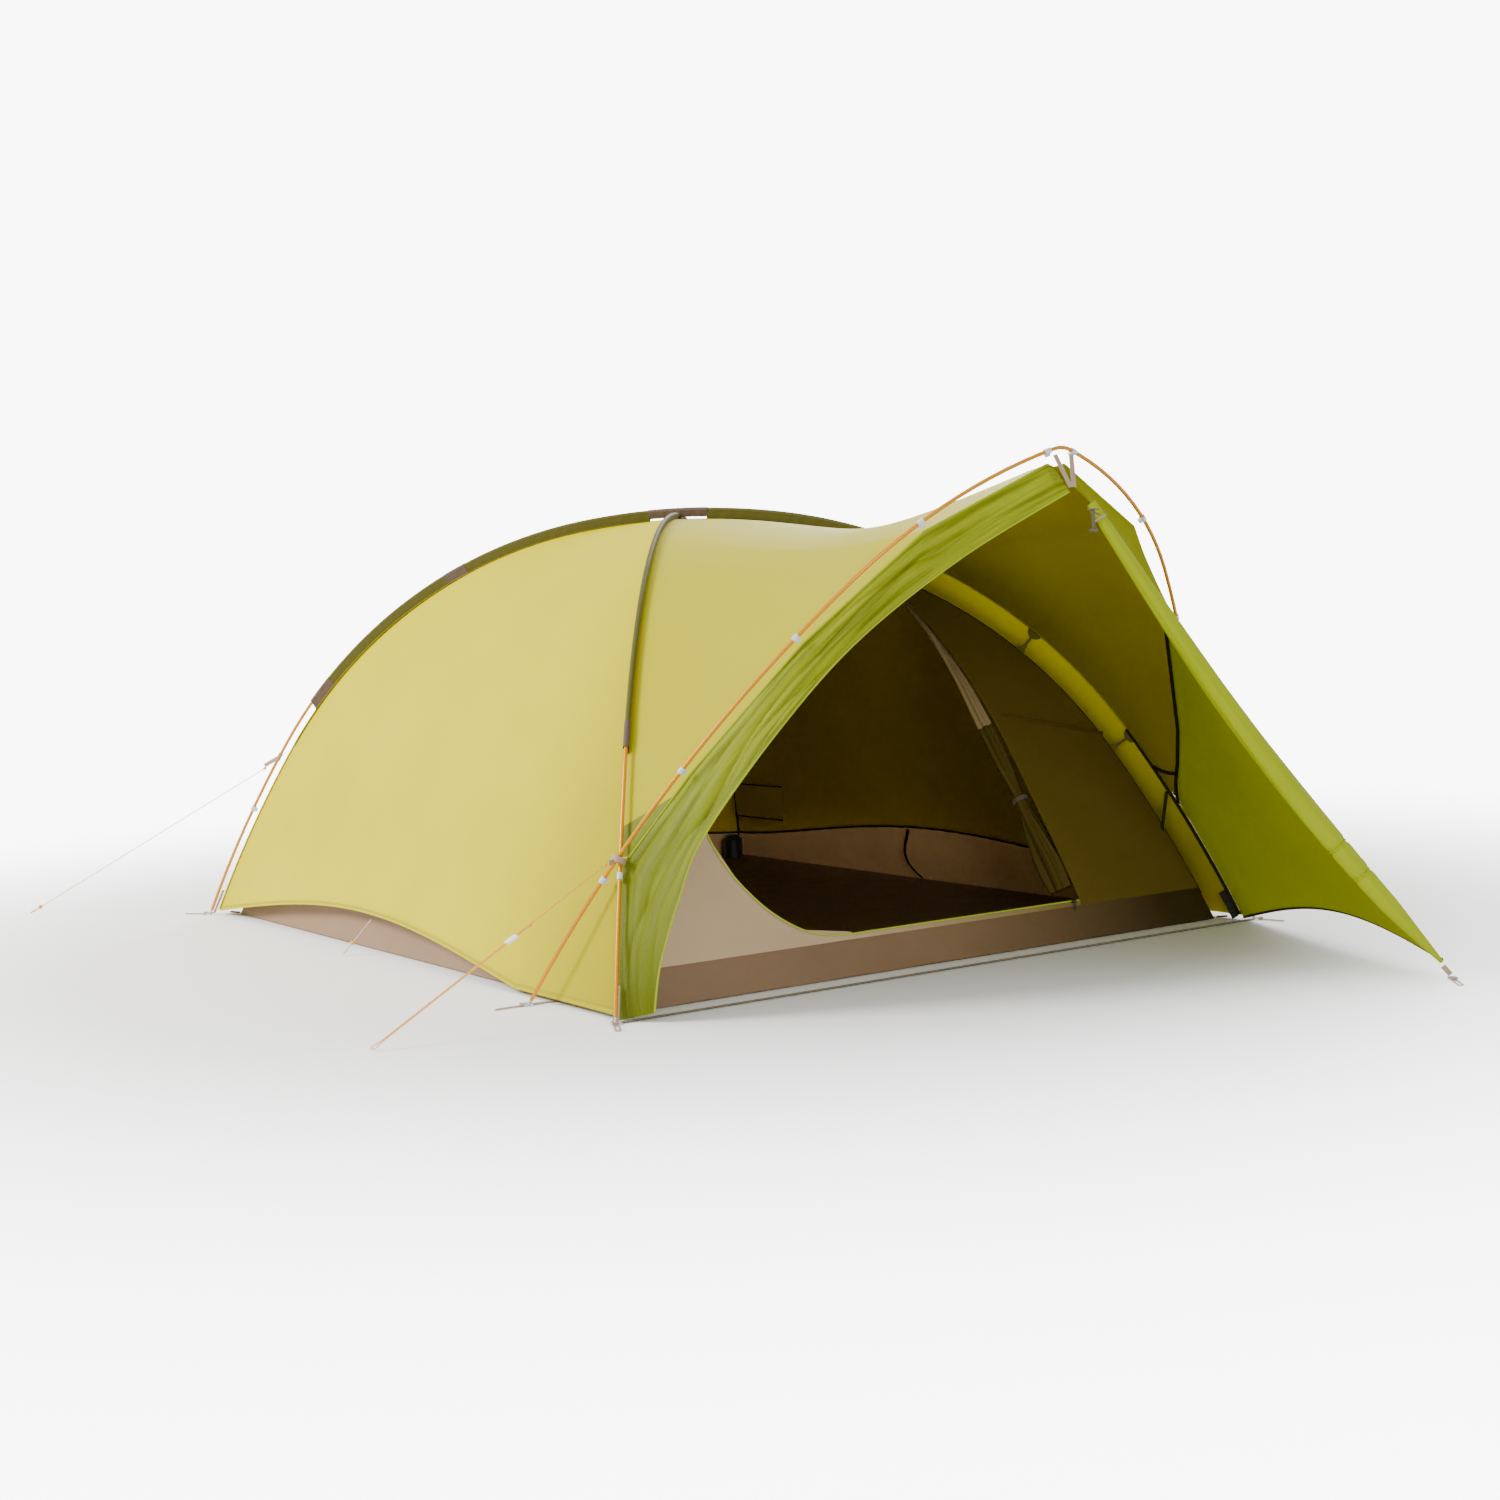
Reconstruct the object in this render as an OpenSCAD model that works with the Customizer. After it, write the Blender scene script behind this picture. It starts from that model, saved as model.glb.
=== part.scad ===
// Dome tent with two crossing poles, an arch pole over the vestibule, a fly and a hung inner tent.
// Millimetres. +Z up, +Y to the rear, entrance towards -Y, origin on the ground in the middle of the floor.

/* [Footprint] */
// Half the width between the feet of the dome poles
foot_x = 1020; // [950:5:1100]
// Half the depth between the feet of the dome poles
foot_y = 1260; // [1180:5:1340]
// Half the width between the feet of the arch pole
arch_foot_x = 1051; // [1051:1:1056]
// Distance of the arch pole's feet in front of the middle
arch_foot_y = 910; // [905:1:915]

/* [Dome poles] */
// Inward lean of a dome pole at its foot, in degrees
dome_lean = 24.5; // [22:0.5:27]
// Radius of the leg stretch of a dome pole
dome_leg_r = 3630; // [3300:10:4000]
// Angle of the leg stretch
dome_leg_a = 9.8; // [9:0.1:11]
// Radius of the shoulder stretch
dome_shoulder_r = 1490; // [1400:10:1550]
// Angle of the shoulder stretch
dome_shoulder_a = 47.3; // [46:0.1:48]

/* [Arch pole] */
// Forward tilt of the arch pole's plane, in degrees
arch_tilt = 30.9; // [30:0.1:32]
// Inward lean of the arch pole at its foot
arch_lean = 14.2; // [13:0.1:15]
// Radius of the leg stretch of the arch pole
arch_leg_r = 2940; // [2800:10:3100]
// Angle of the leg stretch
arch_leg_a = 24.8; // [24:0.1:26]
// Radius of the shoulder stretch
arch_shoulder_r = 1060; // [1000:10:1120]
// Angle of the shoulder stretch
arch_shoulder_a = 31; // [30.5:0.1:31.5]

/* [Tubes and webbing] */
// Outer diameter of the poles
pole_d = 9.5; // [8.5:0.5:10.5]
// Wall thickness of the poles
pole_wall = 0.8; // [0.6:0.1:1]
// Diameter of the guylines
cord_d = 2.6; // [2:0.1:3]
// Width of the webbing
web_w = 16; // [12:1:20]
// Thickness of the webbing
web_t = 1.6; // [1.2:0.1:2]

/* [Fabric] */
// Thickness of the sheets, which stand for thin fabric
cloth_t = 2.4; // [2:0.2:3]
// Distance of the fly inside the dome poles
fly_gap = 26; // [24:1:32]
// Distance of the inner tent inside the dome poles
inner_gap = 98; // [90:1:110]
// Height of the bathtub walls
tub_h = 88; // [80:1:100]
// Height of the fly's hem in the middle of a side
hem_h = 92; // [80:1:120]
// Radius of the rolled-up door
roll_r = 27; // [24:1:30]

/* [Hidden] */
$fn = 32;
ORANGE = "#f09a3c";
LIME = "#c3bd52";
OLIVE = "#6e6419";
DARK = "#4a4038";
BEIGE = "#b29b8a";
BROWN = "#96785c";
GREIGE = "#b2a08c";
GREY = "#c8cdd2";

// ---- pole curves: chains of tangent arcs, from the foot to the crown -------------------------------

// Chain start: half span, height at the foot, heading. Each arc is [radius, angle].
dome_w = norm([foot_x, foot_y]);
function arc_step(p, h, r, a) = p + r * [sin(h + a) - sin(h), cos(h) - cos(h + a)];
function chain_end(arcs, p, h, i = 0) = i == len(arcs) ? [p, h] :
    chain_end(arcs, arc_step(p, h, arcs[i][0], arcs[i][1]), h + arcs[i][1], i + 1);
// The crown arc closes the chain: it turns to level and ends in the middle
function close_chain(w, lean, arcs) = let (e = chain_end(arcs, [w, 0], 90 + lean), a = 180 - e[1])
    [w, lean, concat(arcs, [[e[0][0] / sin(a), a]])];
dome = close_chain(dome_w, dome_lean, [[dome_leg_r, dome_leg_a], [dome_shoulder_r, dome_shoulder_a]]);
arch = close_chain(arch_foot_x, arch_lean,
    [[arch_leg_r, arch_leg_a], [arch_shoulder_r, arch_shoulder_a]]);
function arc_len(a) = a[0] * a[1] * PI / 180;
function total(arcs, i = 0) = i == len(arcs) ? 0 : arc_len(arcs[i]) + total(arcs, i + 1);
dome_len = total(dome[2]);
arch_len = total(arch[2]);
// Point at length l along a chain, moved inwards by off
function walk(arcs, p, h, l, off, i = 0) = let (s = arc_len(arcs[i]))
    l > s && i < len(arcs) - 1
    ? walk(arcs, arc_step(p, h, arcs[i][0], arcs[i][1]), h + arcs[i][1], l - s, off, i + 1)
    : let (a = l / arcs[i][0] * 180 / PI) arc_step(p, h, arcs[i][0], a) + off * [-sin(h + a), cos(h + a)];
function on_chain(c, l, off = 0) = walk(c[2], [c[0], 0], 90 + c[1], l, off);
// Length at which a chain, moved inwards by off, reaches height z
function len_at(c, z, off, lo = 0, hi = 0, n = 24) =
    let (top = hi == 0 ? total(c[2]) : hi, m = (lo + top) / 2)
    n == 0 ? m
    : on_chain(c, m, off)[1] < z ? len_at(c, z, off, m, top, n - 1)
    : len_at(c, z, off, lo, m, n - 1);

// Corner directions of the dome: sx, sy are -1 or 1
function dome_pt(sx, sy, l, off = 0) = let (p = on_chain(dome, l, off))
    [sx * p[0] * foot_x / dome_w, sy * p[0] * foot_y / dome_w, p[1]];
function arch_pt(sx, l, off = 0) = let (p = on_chain(arch, l, off))
    [sx * p[0], -arch_foot_y - p[1] * sin(arch_tilt), p[1] * cos(arch_tilt)];

module dome_plane(sx, sy) rotate([90, 0, atan2(sy * foot_y, sx * foot_x)]) children();
module arch_plane(sx) translate([0, -arch_foot_y, 0]) mirror([sx < 0 ? 1 : 0, 0, 0])
    rotate([90 + arch_tilt, 0, 0]) children();

// Sweeps a 2D profile along a chain from length l0 to l1, with the profile's -x to the inside
// Each arc is a section of its own, with a hairline gap at its ends
joint_gap = 0.3;
module sweep_arcs(arcs, p, h, l0, l1, i = 0) {
    r = arcs[i][0];
    s = arc_len(arcs[i]);
    a0 = (max(l0, 0) + joint_gap / 2) / r * 180 / PI;
    a1 = (min(l1, s) - joint_gap / 2) / r * 180 / PI;
    if (a1 > a0)
        translate(p + r * [-sin(h), cos(h)]) rotate(h - 90 + a0)
            rotate_extrude(angle = a1 - a0) translate([r, 0]) children();
    if (i < len(arcs) - 1)
        sweep_arcs(arcs, arc_step(p, h, r, arcs[i][1]), h + arcs[i][1], l0 - s, l1 - s, i + 1) children();
}
module run(c, l0, l1) sweep_arcs(c[2], [c[0], 0], 90 + c[1], l0, l1) children();

// Pole B passes under pole A at the crown, so it leans a little more and ends lower
dome_b = close_chain(dome_w, dome_lean + 0.5, [[dome_leg_r, dome_leg_a], [dome_shoulder_r, dome_shoulder_a]]);
tip_l = 16;
module tube_profile(r, wall) difference() {
    circle(r);
    circle(r - wall);
}
// The four legs: pole A ends rear-left and front-right, pole B front-left and rear-right
A_LEGS = [[-1, 1], [1, -1]];
B_LEGS = [[-1, -1], [1, 1]];
LEGS = concat(A_LEGS, B_LEGS);
function leg_chain(c) = c[0] * c[1] < 0 ? dome : dome_b;
module dome_legs(legs, l0, l1) for (c = legs)
    dome_plane(c[0], c[1]) run(leg_chain(c), l0, min(l1, total(leg_chain(c)[2]))) children();
module arch_legs(l0, l1) for (s = [-1, 1]) arch_plane(s) run(arch, l0, l1) children();

module pole_a() color(ORANGE) dome_legs(A_LEGS, tip_l, dome_len) tube_profile(pole_d / 2, pole_wall);
module pole_b() color(ORANGE) dome_legs(B_LEGS, tip_l, 2 * dome_len) tube_profile(pole_d / 2, pole_wall);
module pole_c() color(ORANGE) arch_legs(tip_l, arch_len) tube_profile(pole_d / 2, pole_wall);

// Elastic cord inside the tubes
shock_r = 1.5;
module shock_cords() color("#303030") {
    dome_legs(LEGS, tip_l + 30, 2 * dome_len) circle(shock_r);
    arch_legs(tip_l + 30, arch_len) circle(shock_r);
}

// Ferrules inside the tubes, one at each joint between sections; the arch's elbow has a bent one
ferrule_r = 3.65;
module ferrule() difference() {
    cylinder(r = ferrule_r, h = 24, center = true);
    cylinder(r = ferrule_r - 1.1, h = 40, center = true);
}
function joints_of(c) = [arc_len(c[2][0]), arc_len(c[2][0]) + arc_len(c[2][1])];
module pole_ferrules() color("#a8adb2") {
    for (c = LEGS) dome_plane(c[0], c[1]) {
        for (l = joints_of(leg_chain(c))) at_chain(leg_chain(c), l) ferrule();
        if (c[0] > 0) at_chain(leg_chain(c), total(leg_chain(c)[2])) ferrule();
    }
    for (s = [-1, 1]) arch_plane(s) at_chain(arch, joints_of(arch)[0]) ferrule();
    arch_legs(arch_len - 40, arch_len) tube_profile(ferrule_r, 1.1);
}

// Ball-ended tips that stand on the ground and plug into the tubes
tip_r = 4;
module at_height(c, z) translate([c[0] - z * tan(c[1]), z, 0]) rotate(c[1]) children();
module tip_body() {
    sphere(tip_r);
    rotate([-90, 0, 0]) cylinder(r = tip_r - 1.2, h = tip_l + 12);
}
module pole_tips() color("#8a8f94") {
    for (c = LEGS) dome_plane(c[0], c[1]) at_height(leg_chain(c), tip_r) tip_body();
    for (s = [-1, 1]) arch_plane(s) at_height(arch, tip_r / cos(arch_tilt)) tip_body();
}

// ---- sleeves over the dome poles: a tube round the pole with a fin down to the fly ------------------
sleeve_r = 6.4;
fin_t = 1.6;
CUFF_FRONT = [692, 768];
CUFF_REAR = [780, 874];
MID = [1380, 1450];
crown_half = 88;
function cuff(c) = c[1] < 0 ? CUFF_FRONT : CUFF_REAR;
module fin_profile(r, t) difference() {
    union() {
        circle(r);
        translate([-fly_gap + 2, -t / 2]) square([fly_gap - 7, t]);
    }
    circle(pole_d / 2 + 0.45);
}
module sleeve(legs) for (c = legs) {
    end = total(leg_chain(c)[2]) - crown_half;
    start = cuff(c)[1] + 1;
    dome_legs([c], start, c[1] > 0 ? MID[0] - 1 : end) fin_profile(sleeve_r, fin_t);
    if (c[1] > 0) dome_legs([c], MID[1] + 1, end) fin_profile(sleeve_r, fin_t);
}
module sleeve_a() color(OLIVE) sleeve(A_LEGS);
module sleeve_b() color(OLIVE) sleeve(B_LEGS);
module sleeve_cuffs() color(DARK) for (c = LEGS) dome_legs([c], cuff(c)[0], cuff(c)[1])
    fin_profile(sleeve_r + 1, 2.4);
module mid_patches() color(DARK) for (c = LEGS) if (c[1] > 0) dome_legs([c], MID[0], MID[1])
    fin_profile(sleeve_r + 1, 2.4);
// Patch over the crossing: it wraps pole A, and its fins stop short of pole B below
module crown_patch() color(DARK) difference() {
    dome_legs(A_LEGS, dome_len - crown_half + 1, dome_len) fin_profile(sleeve_r + 1, 2.4);
    translate([0, 0, on_chain(dome, dome_len)[1] - 20]) cube([36, 36, 25], center = true);
}

// ---- clips and webbing on the poles -----------------------------------------------------------------
CLIP_L = [370, 690, 1090, 1475, 1830];
clip_r = 7;
// A snap hook: a ring round the pole, with a tab towards the fabric
module clip_body() difference() {
    union() {
        cylinder(r = clip_r, h = 16, center = true);
        translate([-13, -4, -6]) cube([10, 8, 12]);
    }
    cylinder(r = pole_d / 2 + 0.4, h = 40, center = true);
}
// Puts a child on a chain at length l: its z runs along the pole and its -x points inwards
module at_chain(c, l) {
    p = on_chain(c, l);
    q = on_chain(c, l, 1);
    translate(p) rotate(atan2(p[1] - q[1], p[0] - q[0])) rotate([-90, 0, 0]) children();
}
module arch_clips() color(GREY) for (s = [-1, 1], l = CLIP_L) arch_plane(s) at_chain(arch, l) clip_body();
module leg_clips() color(GREY) for (c = LEGS) dome_plane(c[0], c[1])
    at_chain(leg_chain(c), c[1] < 0 ? 352 : 380) clip_body();

// A ribbon from p to q, with its width along side and its thickness square to both
function unit(v) = v / norm(v);
function box_points(p, q, a, b) = [for (e = [p, q], s = [[-1, -1], [1, -1], [1, 1], [-1, 1]])
    e + s[0] * a + s[1] * b];
BOX_FACES = [[0, 1, 2, 3], [7, 6, 5, 4], [0, 4, 5, 1], [1, 5, 6, 2], [2, 6, 7, 3], [3, 7, 4, 0]];
module ribbon(p, q, side, w = web_w, t = web_t) {
    d = unit(q - p);
    b = unit(cross(d, side));
    a = cross(b, d);
    polyhedron(box_points(p, q, a * w / 2, b * t / 2), BOX_FACES);
}
// Webbing sleeve that binds the arch pole to a dome pole where they cross
CROSS_L = [391, 430];
wrap_r = 18;
module crossing_wraps() color(BEIGE) for (s = [-1, 1]) {
    b = dome_pt(s, -1, CROSS_L[0]);
    c = arch_pt(s, CROSS_L[1]);
    d = unit(unit(dome_pt(s, -1, CROSS_L[0] + 9) - b) + unit(arch_pt(s, CROSS_L[1] + 9) - c));
    translate((b + c) / 2) rotate([0, acos(d[2]), atan2(d[1], d[0])]) difference() {
        cylinder(r = wrap_r, h = 14, center = true);
        cylinder(r = wrap_r - web_t, h = 40, center = true);
    }
    // Webbing from the wrap out to the front guyline
    out = unit([s * GUY_F_TOP[0] * -1, GUY_F_TOP[1], GUY_F_TOP[2]] - (b + c) / 2);
    guy = [-s * GUY_F_TOP[0], GUY_F_TOP[1], GUY_F_TOP[2]];
    ribbon((b + c) / 2 + (wrap_r + 0.4) * out, guy - 4 * out, [0, 0, 1], 12);
}
rear_guy_l = 568;
GUY_DIR = unit([-0.65, 0.75, -0.5]);
module rear_guy_straps() color(BEIGE) for (s = [-1, 1]) {
    p = dome_pt(s, 1, rear_guy_l);
    d = [-s * GUY_DIR[0], GUY_DIR[1], GUY_DIR[2]];
    difference() {
        union() {
            on_rear_leg(s) cylinder(r = pole_d / 2 + 0.4 + web_t, h = 26, center = true);
            ribbon(p + 2 * d, p + 58 * d, [0, 0, 1], 12);
        }
        on_rear_leg(s) cylinder(r = pole_d / 2 + 0.4, h = 80, center = true);
    }
}
module on_rear_leg(s) dome_plane(s, 1) at_chain(leg_chain([s, 1]), rear_guy_l) children();
PEAK = [0, -1686, 1156];
module peak_strap() color(BEIGE) for (s = [-1, 1])
    ribbon(arch_pt(s, CLIP_L[4] + 12, 10) + [0, -12, -4], PEAK + [s * 5, -8, 6], [1, 0, 0], 13);

// ---- fabric: sheets made solid by giving a grid of points a thickness ------------------------------
function clampi(i, n) = max(0, min(n - 1, i));
function grid_normal(g, i, j) = let (m = len(g), n = len(g[0]))
    unit(cross(g[clampi(i + 1, m)][j] - g[clampi(i - 1, m)][j],
        g[i][clampi(j + 1, n)] - g[i][clampi(j - 1, n)]));
function rim(m, n) = concat([for (j = [0:n - 1]) j], [for (i = [1:m - 1]) i * n + n - 1],
    [for (j = [n - 2:-1:0]) (m - 1) * n + j], [for (i = [m - 2:-1:1]) i * n]);
module sheet(g, t = cloth_t) {
    m = len(g);
    n = len(g[0]);
    k = m * n;
    top = [for (i = [0:m - 1], j = [0:n - 1]) g[i][j]];
    low = [for (i = [0:m - 1], j = [0:n - 1]) g[i][j] - t * grid_normal(g, i, j)];
    r = rim(m, n);
    faces = concat(
        [for (i = [0:m - 2], j = [0:n - 2]) let (a = i * n + j)
            each [[a, a + n + 1, a + 1], [a, a + n, a + n + 1]]],
        [for (i = [0:m - 2], j = [0:n - 2]) let (a = k + i * n + j)
            each [[a, a + 1, a + n + 1], [a, a + n + 1, a + n]]],
        [for (e = [0:len(r) - 1]) let (a = r[e], b = r[(e + 1) % len(r)])
            each [[a, b, b + k], [a, b + k, a + k]]]);
    polyhedron(concat(top, low), faces);
}
// A round cord or roll along a list of points, with a radius at each point
function tangent(p, i) = unit(p[min(i + 1, len(p) - 1)] - p[max(i - 1, 0)]);
function ring_at(c, d, ref, r, n) = let (u = unit(cross(d, ref)), v = cross(u, d))
    [for (k = [0:n - 1]) c + r * (cos(k * 360 / n) * u + sin(k * 360 / n) * v)];
module cord(p, r, ref = [0, 0, 1], n = 8) {
    m = len(p);
    pts = [for (i = [0:m - 1]) each ring_at(p[i], tangent(p, i), ref, is_list(r) ? r[i] : r, n)];
    faces = concat([[for (k = [0:n - 1]) k]], [[for (k = [n - 1:-1:0]) (m - 1) * n + k]],
        [for (i = [0:m - 2], k = [0:n - 1]) let (a = i * n + k, b = i * n + (k + 1) % n)
            each [[a, a + n, b], [b, a + n, b + n]]]);
    polyhedron(pts, faces);
}
// Smooth curve through points: t runs from 0 to the number of points less one
function curve(p, t) = let (n = len(p), i = min(floor(t), n - 2), u = t - i,
    a = p[max(i - 1, 0)], b = p[i], c = p[i + 1], d = p[min(i + 2, n - 1)])
    0.5 * (2 * b + (c - a) * u + (2 * a - 5 * b + 4 * c - d) * u * u + (3 * b - a - 3 * c + d) * u * u * u);
function mix(a, b, t) = a + (b - a) * t;

seam_gap = 4;
crown_stop = 45;
side_sag = 30;
// A dome wall: w from the hem to the crown, v from one ridge to the other. It bows in a little.
function wall_len(off, z) = len_at(dome, z, off);
function wall_pt(off, l0, v, w, sag) = let (l = mix(l0, dome_len - crown_stop, w), p = on_chain(dome, l, off))
    [(p[0] * foot_x / dome_w) - sag * (1 - v * v) * sin(180 * w),
        v * (p[0] * foot_y / dome_w - seam_gap), p[1]];
function end_pt(off, l0, v, w, sag) = let (l = mix(l0, dome_len - crown_stop, w), p = on_chain(dome, l, off))
    [v * (p[0] * foot_x / dome_w - seam_gap),
        (p[0] * foot_y / dome_w) - sag * (1 - v * v) * sin(180 * w), p[1]];
// The side hem lifts in a bow from the rear foot to the arch pole's foot
function side_hem(v) = 14 + hem_h * (v < -0.6 ? 0 : sin(180 * (v + 0.6) / 1.6));
function end_hem(v) = 14 + hem_h * cos(90 * v);
side_grid = [for (i = [0:12]) [for (j = [-10:10])
    wall_pt(fly_gap, wall_len(fly_gap, side_hem(j / 10)), j / 10, i / 12, side_sag)]];
module fly_right() color(LIME) sheet([for (row = side_grid) [for (j = [len(row) - 1:-1:0]) row[j]]]);
module fly_left() color(LIME) sheet([for (row = side_grid) [for (p = row) [-p[0], p[1], p[2]]]]);
module fly_rear() color(LIME) sheet([for (i = [0:12]) [for (j = [-10:10])
    end_pt(fly_gap, wall_len(fly_gap, end_hem(j / 10)), j / 10, i / 12, side_sag)]]);

// Front roof: from the front ridges to the seam along the arch pole
arch_gap = 30;
roof_sag = 60;
function roof_rear(t) = dome_pt(1, -1, mix(dome_len, CROSS_L[0] + 45, t), fly_gap) - [0, seam_gap, 0];
function roof_front(t) = arch_pt(1, mix(arch_len, CROSS_L[1] + 45, t), arch_gap);
function roof_pt(t, w) = mix(roof_rear(t), roof_front(t), w) - [0, 0, roof_sag * sin(180 * w) * cos(90 * t)];
roof_half = [for (i = [0:12]) [for (j = [0:14]) roof_pt(j / 14, i / 12)]];
roof_grid = [for (row = roof_half) concat([for (j = [14:-1:1]) [-row[j][0], row[j][1], row[j][2]]], row)];
module fly_roof() color(LIME) sheet([for (i = [12:-1:0]) roof_grid[i]]);

// The seam up the front: along the dome pole to the crossing, then along the arch pole
function seam_up(s, t) = t < 0.25
    ? dome_pt(s, -1, mix(14, CROSS_L[0] - 10, t / 0.25), fly_gap - 6) - [0, 12, 0]
    : arch_pt(s, mix(CROSS_L[1] + 40, arch_len, (t - 0.25) / 0.75), arch_gap - 5) - [0, 6, 0];
BAND_EDGE = [[-948, -1312, 22], [-932, -1320, 130], [-885, -1332, 270], [-820, -1347, 409],
    [-650, -1415, 640], [-472, -1488, 834], [-253, -1593, 1009], [-4, -1688, 1152]];
module fly_band() color("#a5af45") sheet([for (i = [0:24]) [for (j = [0:4])
    mix(curve(BAND_EDGE, 7 * i / 24), seam_up(-1, i / 24), 0.98 * j / 4)]]);

// Right side of the vestibule: from the seam to the line of the rolled door
ROLL_TOP = [62, -1694, 1120];
ROLL_TIP = [668, -2172, 34];
roll_sag = 62;
function roll_line(t) = mix(ROLL_TOP, ROLL_TIP, t) - [0, 0, roll_sag * sin(180 * t)];
side_hem_h = 55;
function side_pt(t, w) = mix(seam_up(1, t), roll_line(1 - t), 0.02 + 0.95 * w)
    + [0, 0, (side_hem_h * pow(1 - t, 3) + 12 * (1 - t)) * sin(180 * w)];
module fly_side() color("#8a9a1e") sheet([for (i = [0:16]) [for (j = [0:10]) side_pt(i / 16, j / 10)]]);
ROLL_OUT = unit([-0.8, -0.62, 0.12]);
function roll_pt(t) = roll_line(t) + (roll_r + 2) * ROLL_OUT;
function roll_rad(t) = roll_r * (0.5 + 0.5 * pow(sin(180 * (0.06 + 0.88 * t)), 0.5))
    - (t > 0.85 ? 60 * (t - 0.85) : 0);
module fly_roll() color("#a5af41")
    cord([for (i = [0:14]) roll_pt(i / 14)], [for (i = [0:14]) roll_rad(i / 14)], [0, 0, 1], 12);

// Webbing ties round the roll, and the hinge pin of the toggle on the top one
TIE_T = [0.03, 0.7, 0.77];
module along(p, q) translate(p) rotate([0, acos(unit(q - p)[2]), atan2((q - p)[1], (q - p)[0])]) children();
module roll_ties() color(BEIGE) {
    for (t = TIE_T) along(roll_pt(t), roll_pt(t + 0.02)) difference() {
        cylinder(r = roll_rad(t) + 3.2, h = 12);
        translate([0, 0, -10]) cylinder(r = roll_rad(t) + 1.4, h = 40);
    }
    translate(TOGGLE_AT) rotate([90, 0, TOGGLE_TURN]) cylinder(r = 1.5, h = 26, center = true);
    ribbon(roll_pt(TIE_T[0]) + [-14, -20, 8], TOGGLE_AT + toggle_side * 11, toggle_side, 3);
}
TOGGLE_AT = [8, -1752, 1108];
TOGGLE_TURN = 50;
toggle_side = [-sin(TOGGLE_TURN), cos(TOGGLE_TURN), 0];
module door_toggle() color(BEIGE) translate(TOGGLE_AT) rotate([90, 0, TOGGLE_TURN]) {
    difference() {
        union() {
            cylinder(r = 3.2, h = 8, center = true);
            translate([-0.8, -46, -4]) cube([1.6, 45, 8]);
        }
        cylinder(r = 1.7, h = 20, center = true);
    }
    translate([0, -48, 0]) cylinder(r = 3.5, h = 20, center = true);
}

// ---- feet: ring bars, webbing tabs and peg loops ----------------------------------------------------
// name, ring centre, direction of the loop in degrees
LOOPS = [[[-foot_x, -foot_y], 243], [[foot_x, -foot_y], 283], [[-foot_x, foot_y], 130],
    [[foot_x, foot_y], 50], [[-arch_foot_x, -arch_foot_y], 180], [[arch_foot_x, -arch_foot_y], 0],
    [[646, -2216], 232]];
bar_r = 2;
bar_z = 5;
bar_out = 17;
loop_len = 72;
loop_t = 1.6;
module at_loop(i) translate(LOOPS[i][0]) rotate(LOOPS[i][1]) children();
module ring_body() {
    translate([0, 0, 4]) linear_extrude(2) difference() {
        union() {
            circle(10.6);
            for (s = [-1, 1]) translate([0, s * 9.5 - 1.5]) square([bar_out, 3]);
            translate([0, -9.5]) square([7, 19]);
        }
        circle(7.8);
    }
    translate([bar_out, 0, bar_z]) rotate([90, 0, 0]) cylinder(r = bar_r, h = 22, center = true);
}
module foot_rings() color("#b9bcc0") for (i = [0:5]) at_loop(i) ring_body();
module tip_ring() color("#b9bcc0") at_loop(6) ring_body();
module peg_loop(i) color(BEIGE) at_loop(i) translate([bar_out, 0, 0]) difference() {
    union() {
        translate([0, 0, bar_z]) rotate([90, 0, 0]) cylinder(r = bar_r + 1.8, h = 14, center = true);
        translate([0, -7, bar_z - bar_r - 1.8]) cube([loop_len - 7, 14, loop_t]);
        translate([loop_len - 7, 0, bar_z - bar_r - 1.8]) cylinder(r = 7, h = loop_t);
    }
    translate([0, 0, bar_z]) rotate([90, 0, 0]) cylinder(r = bar_r + 0.3, h = 40, center = true);
    hull() for (x = [14, loop_len - 9]) translate([x, 0, 0]) cylinder(r = 3.2, h = 3);
}
module loop_fl() peg_loop(0);
module loop_fr() peg_loop(1);
module loop_rl() peg_loop(2);
module loop_rr() peg_loop(3);
module loop_cl() peg_loop(4);
module loop_cr() peg_loop(5);
module loop_tip() peg_loop(6);

// Webbing from each foot ring up to the fly's corner, and from the tip ring up to the roll
module foot_tabs() color(BEIGE) {
    for (c = LEGS) {
        d = [c[0] * foot_x, c[1] * foot_y, 0] / dome_w;
        ribbon(dome_pt(c[0], c[1], 8, 12) + [0, 0, 2], dome_pt(c[0], c[1], 92, fly_gap - 12),
            cross(d, [0, 0, 1]), 14);
    }
    ribbon([LOOPS[6][0][0], LOOPS[6][0][1], 10] + [5, 7, 0], roll_pt(1) + [-6, -7, -8], [0.8, -0.6, 0], 12);
}
// Straps on the ground from the arch pole's feet in to the floor
module arch_foot_straps() color(BEIGE) for (s = [-1, 1])
    ribbon([s * (arch_foot_x - 12), -arch_foot_y, 3], [s * 962, -arch_foot_y - 8, 3], [0, 1, 0], 12);
module floor_strap() color(BEIGE)
    ribbon([-foot_x + 14, -foot_y - 4, 3], [foot_x - 14, -foot_y - 4, 3], [0, 1, 0], 14);
module corner_gussets() color("#2b2723") for (s = [-1, 1]) translate([-s * 14, 0, 0])
    ribbon(dome_pt(s, -1, 24, fly_gap + 10), dome_pt(s, -1, 105, fly_gap + 10), [s, 0, 0], 26, 2);

// ---- inner tent -------------------------------------------------------------------------------------
function inner_x(z) = on_chain(dome, len_at(dome, z, inner_gap), inner_gap)[0] * foot_x / dome_w;
function inner_y(z) = on_chain(dome, len_at(dome, z, inner_gap), inner_gap)[0] * foot_y / dome_w;
floor_t = 3;
floor_x = inner_x(0);
floor_y = inner_y(0);
module inner_floor() color(BROWN) translate([-floor_x, -floor_y, 0])
    cube([2 * floor_x, 2 * floor_y, floor_t]);
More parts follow.
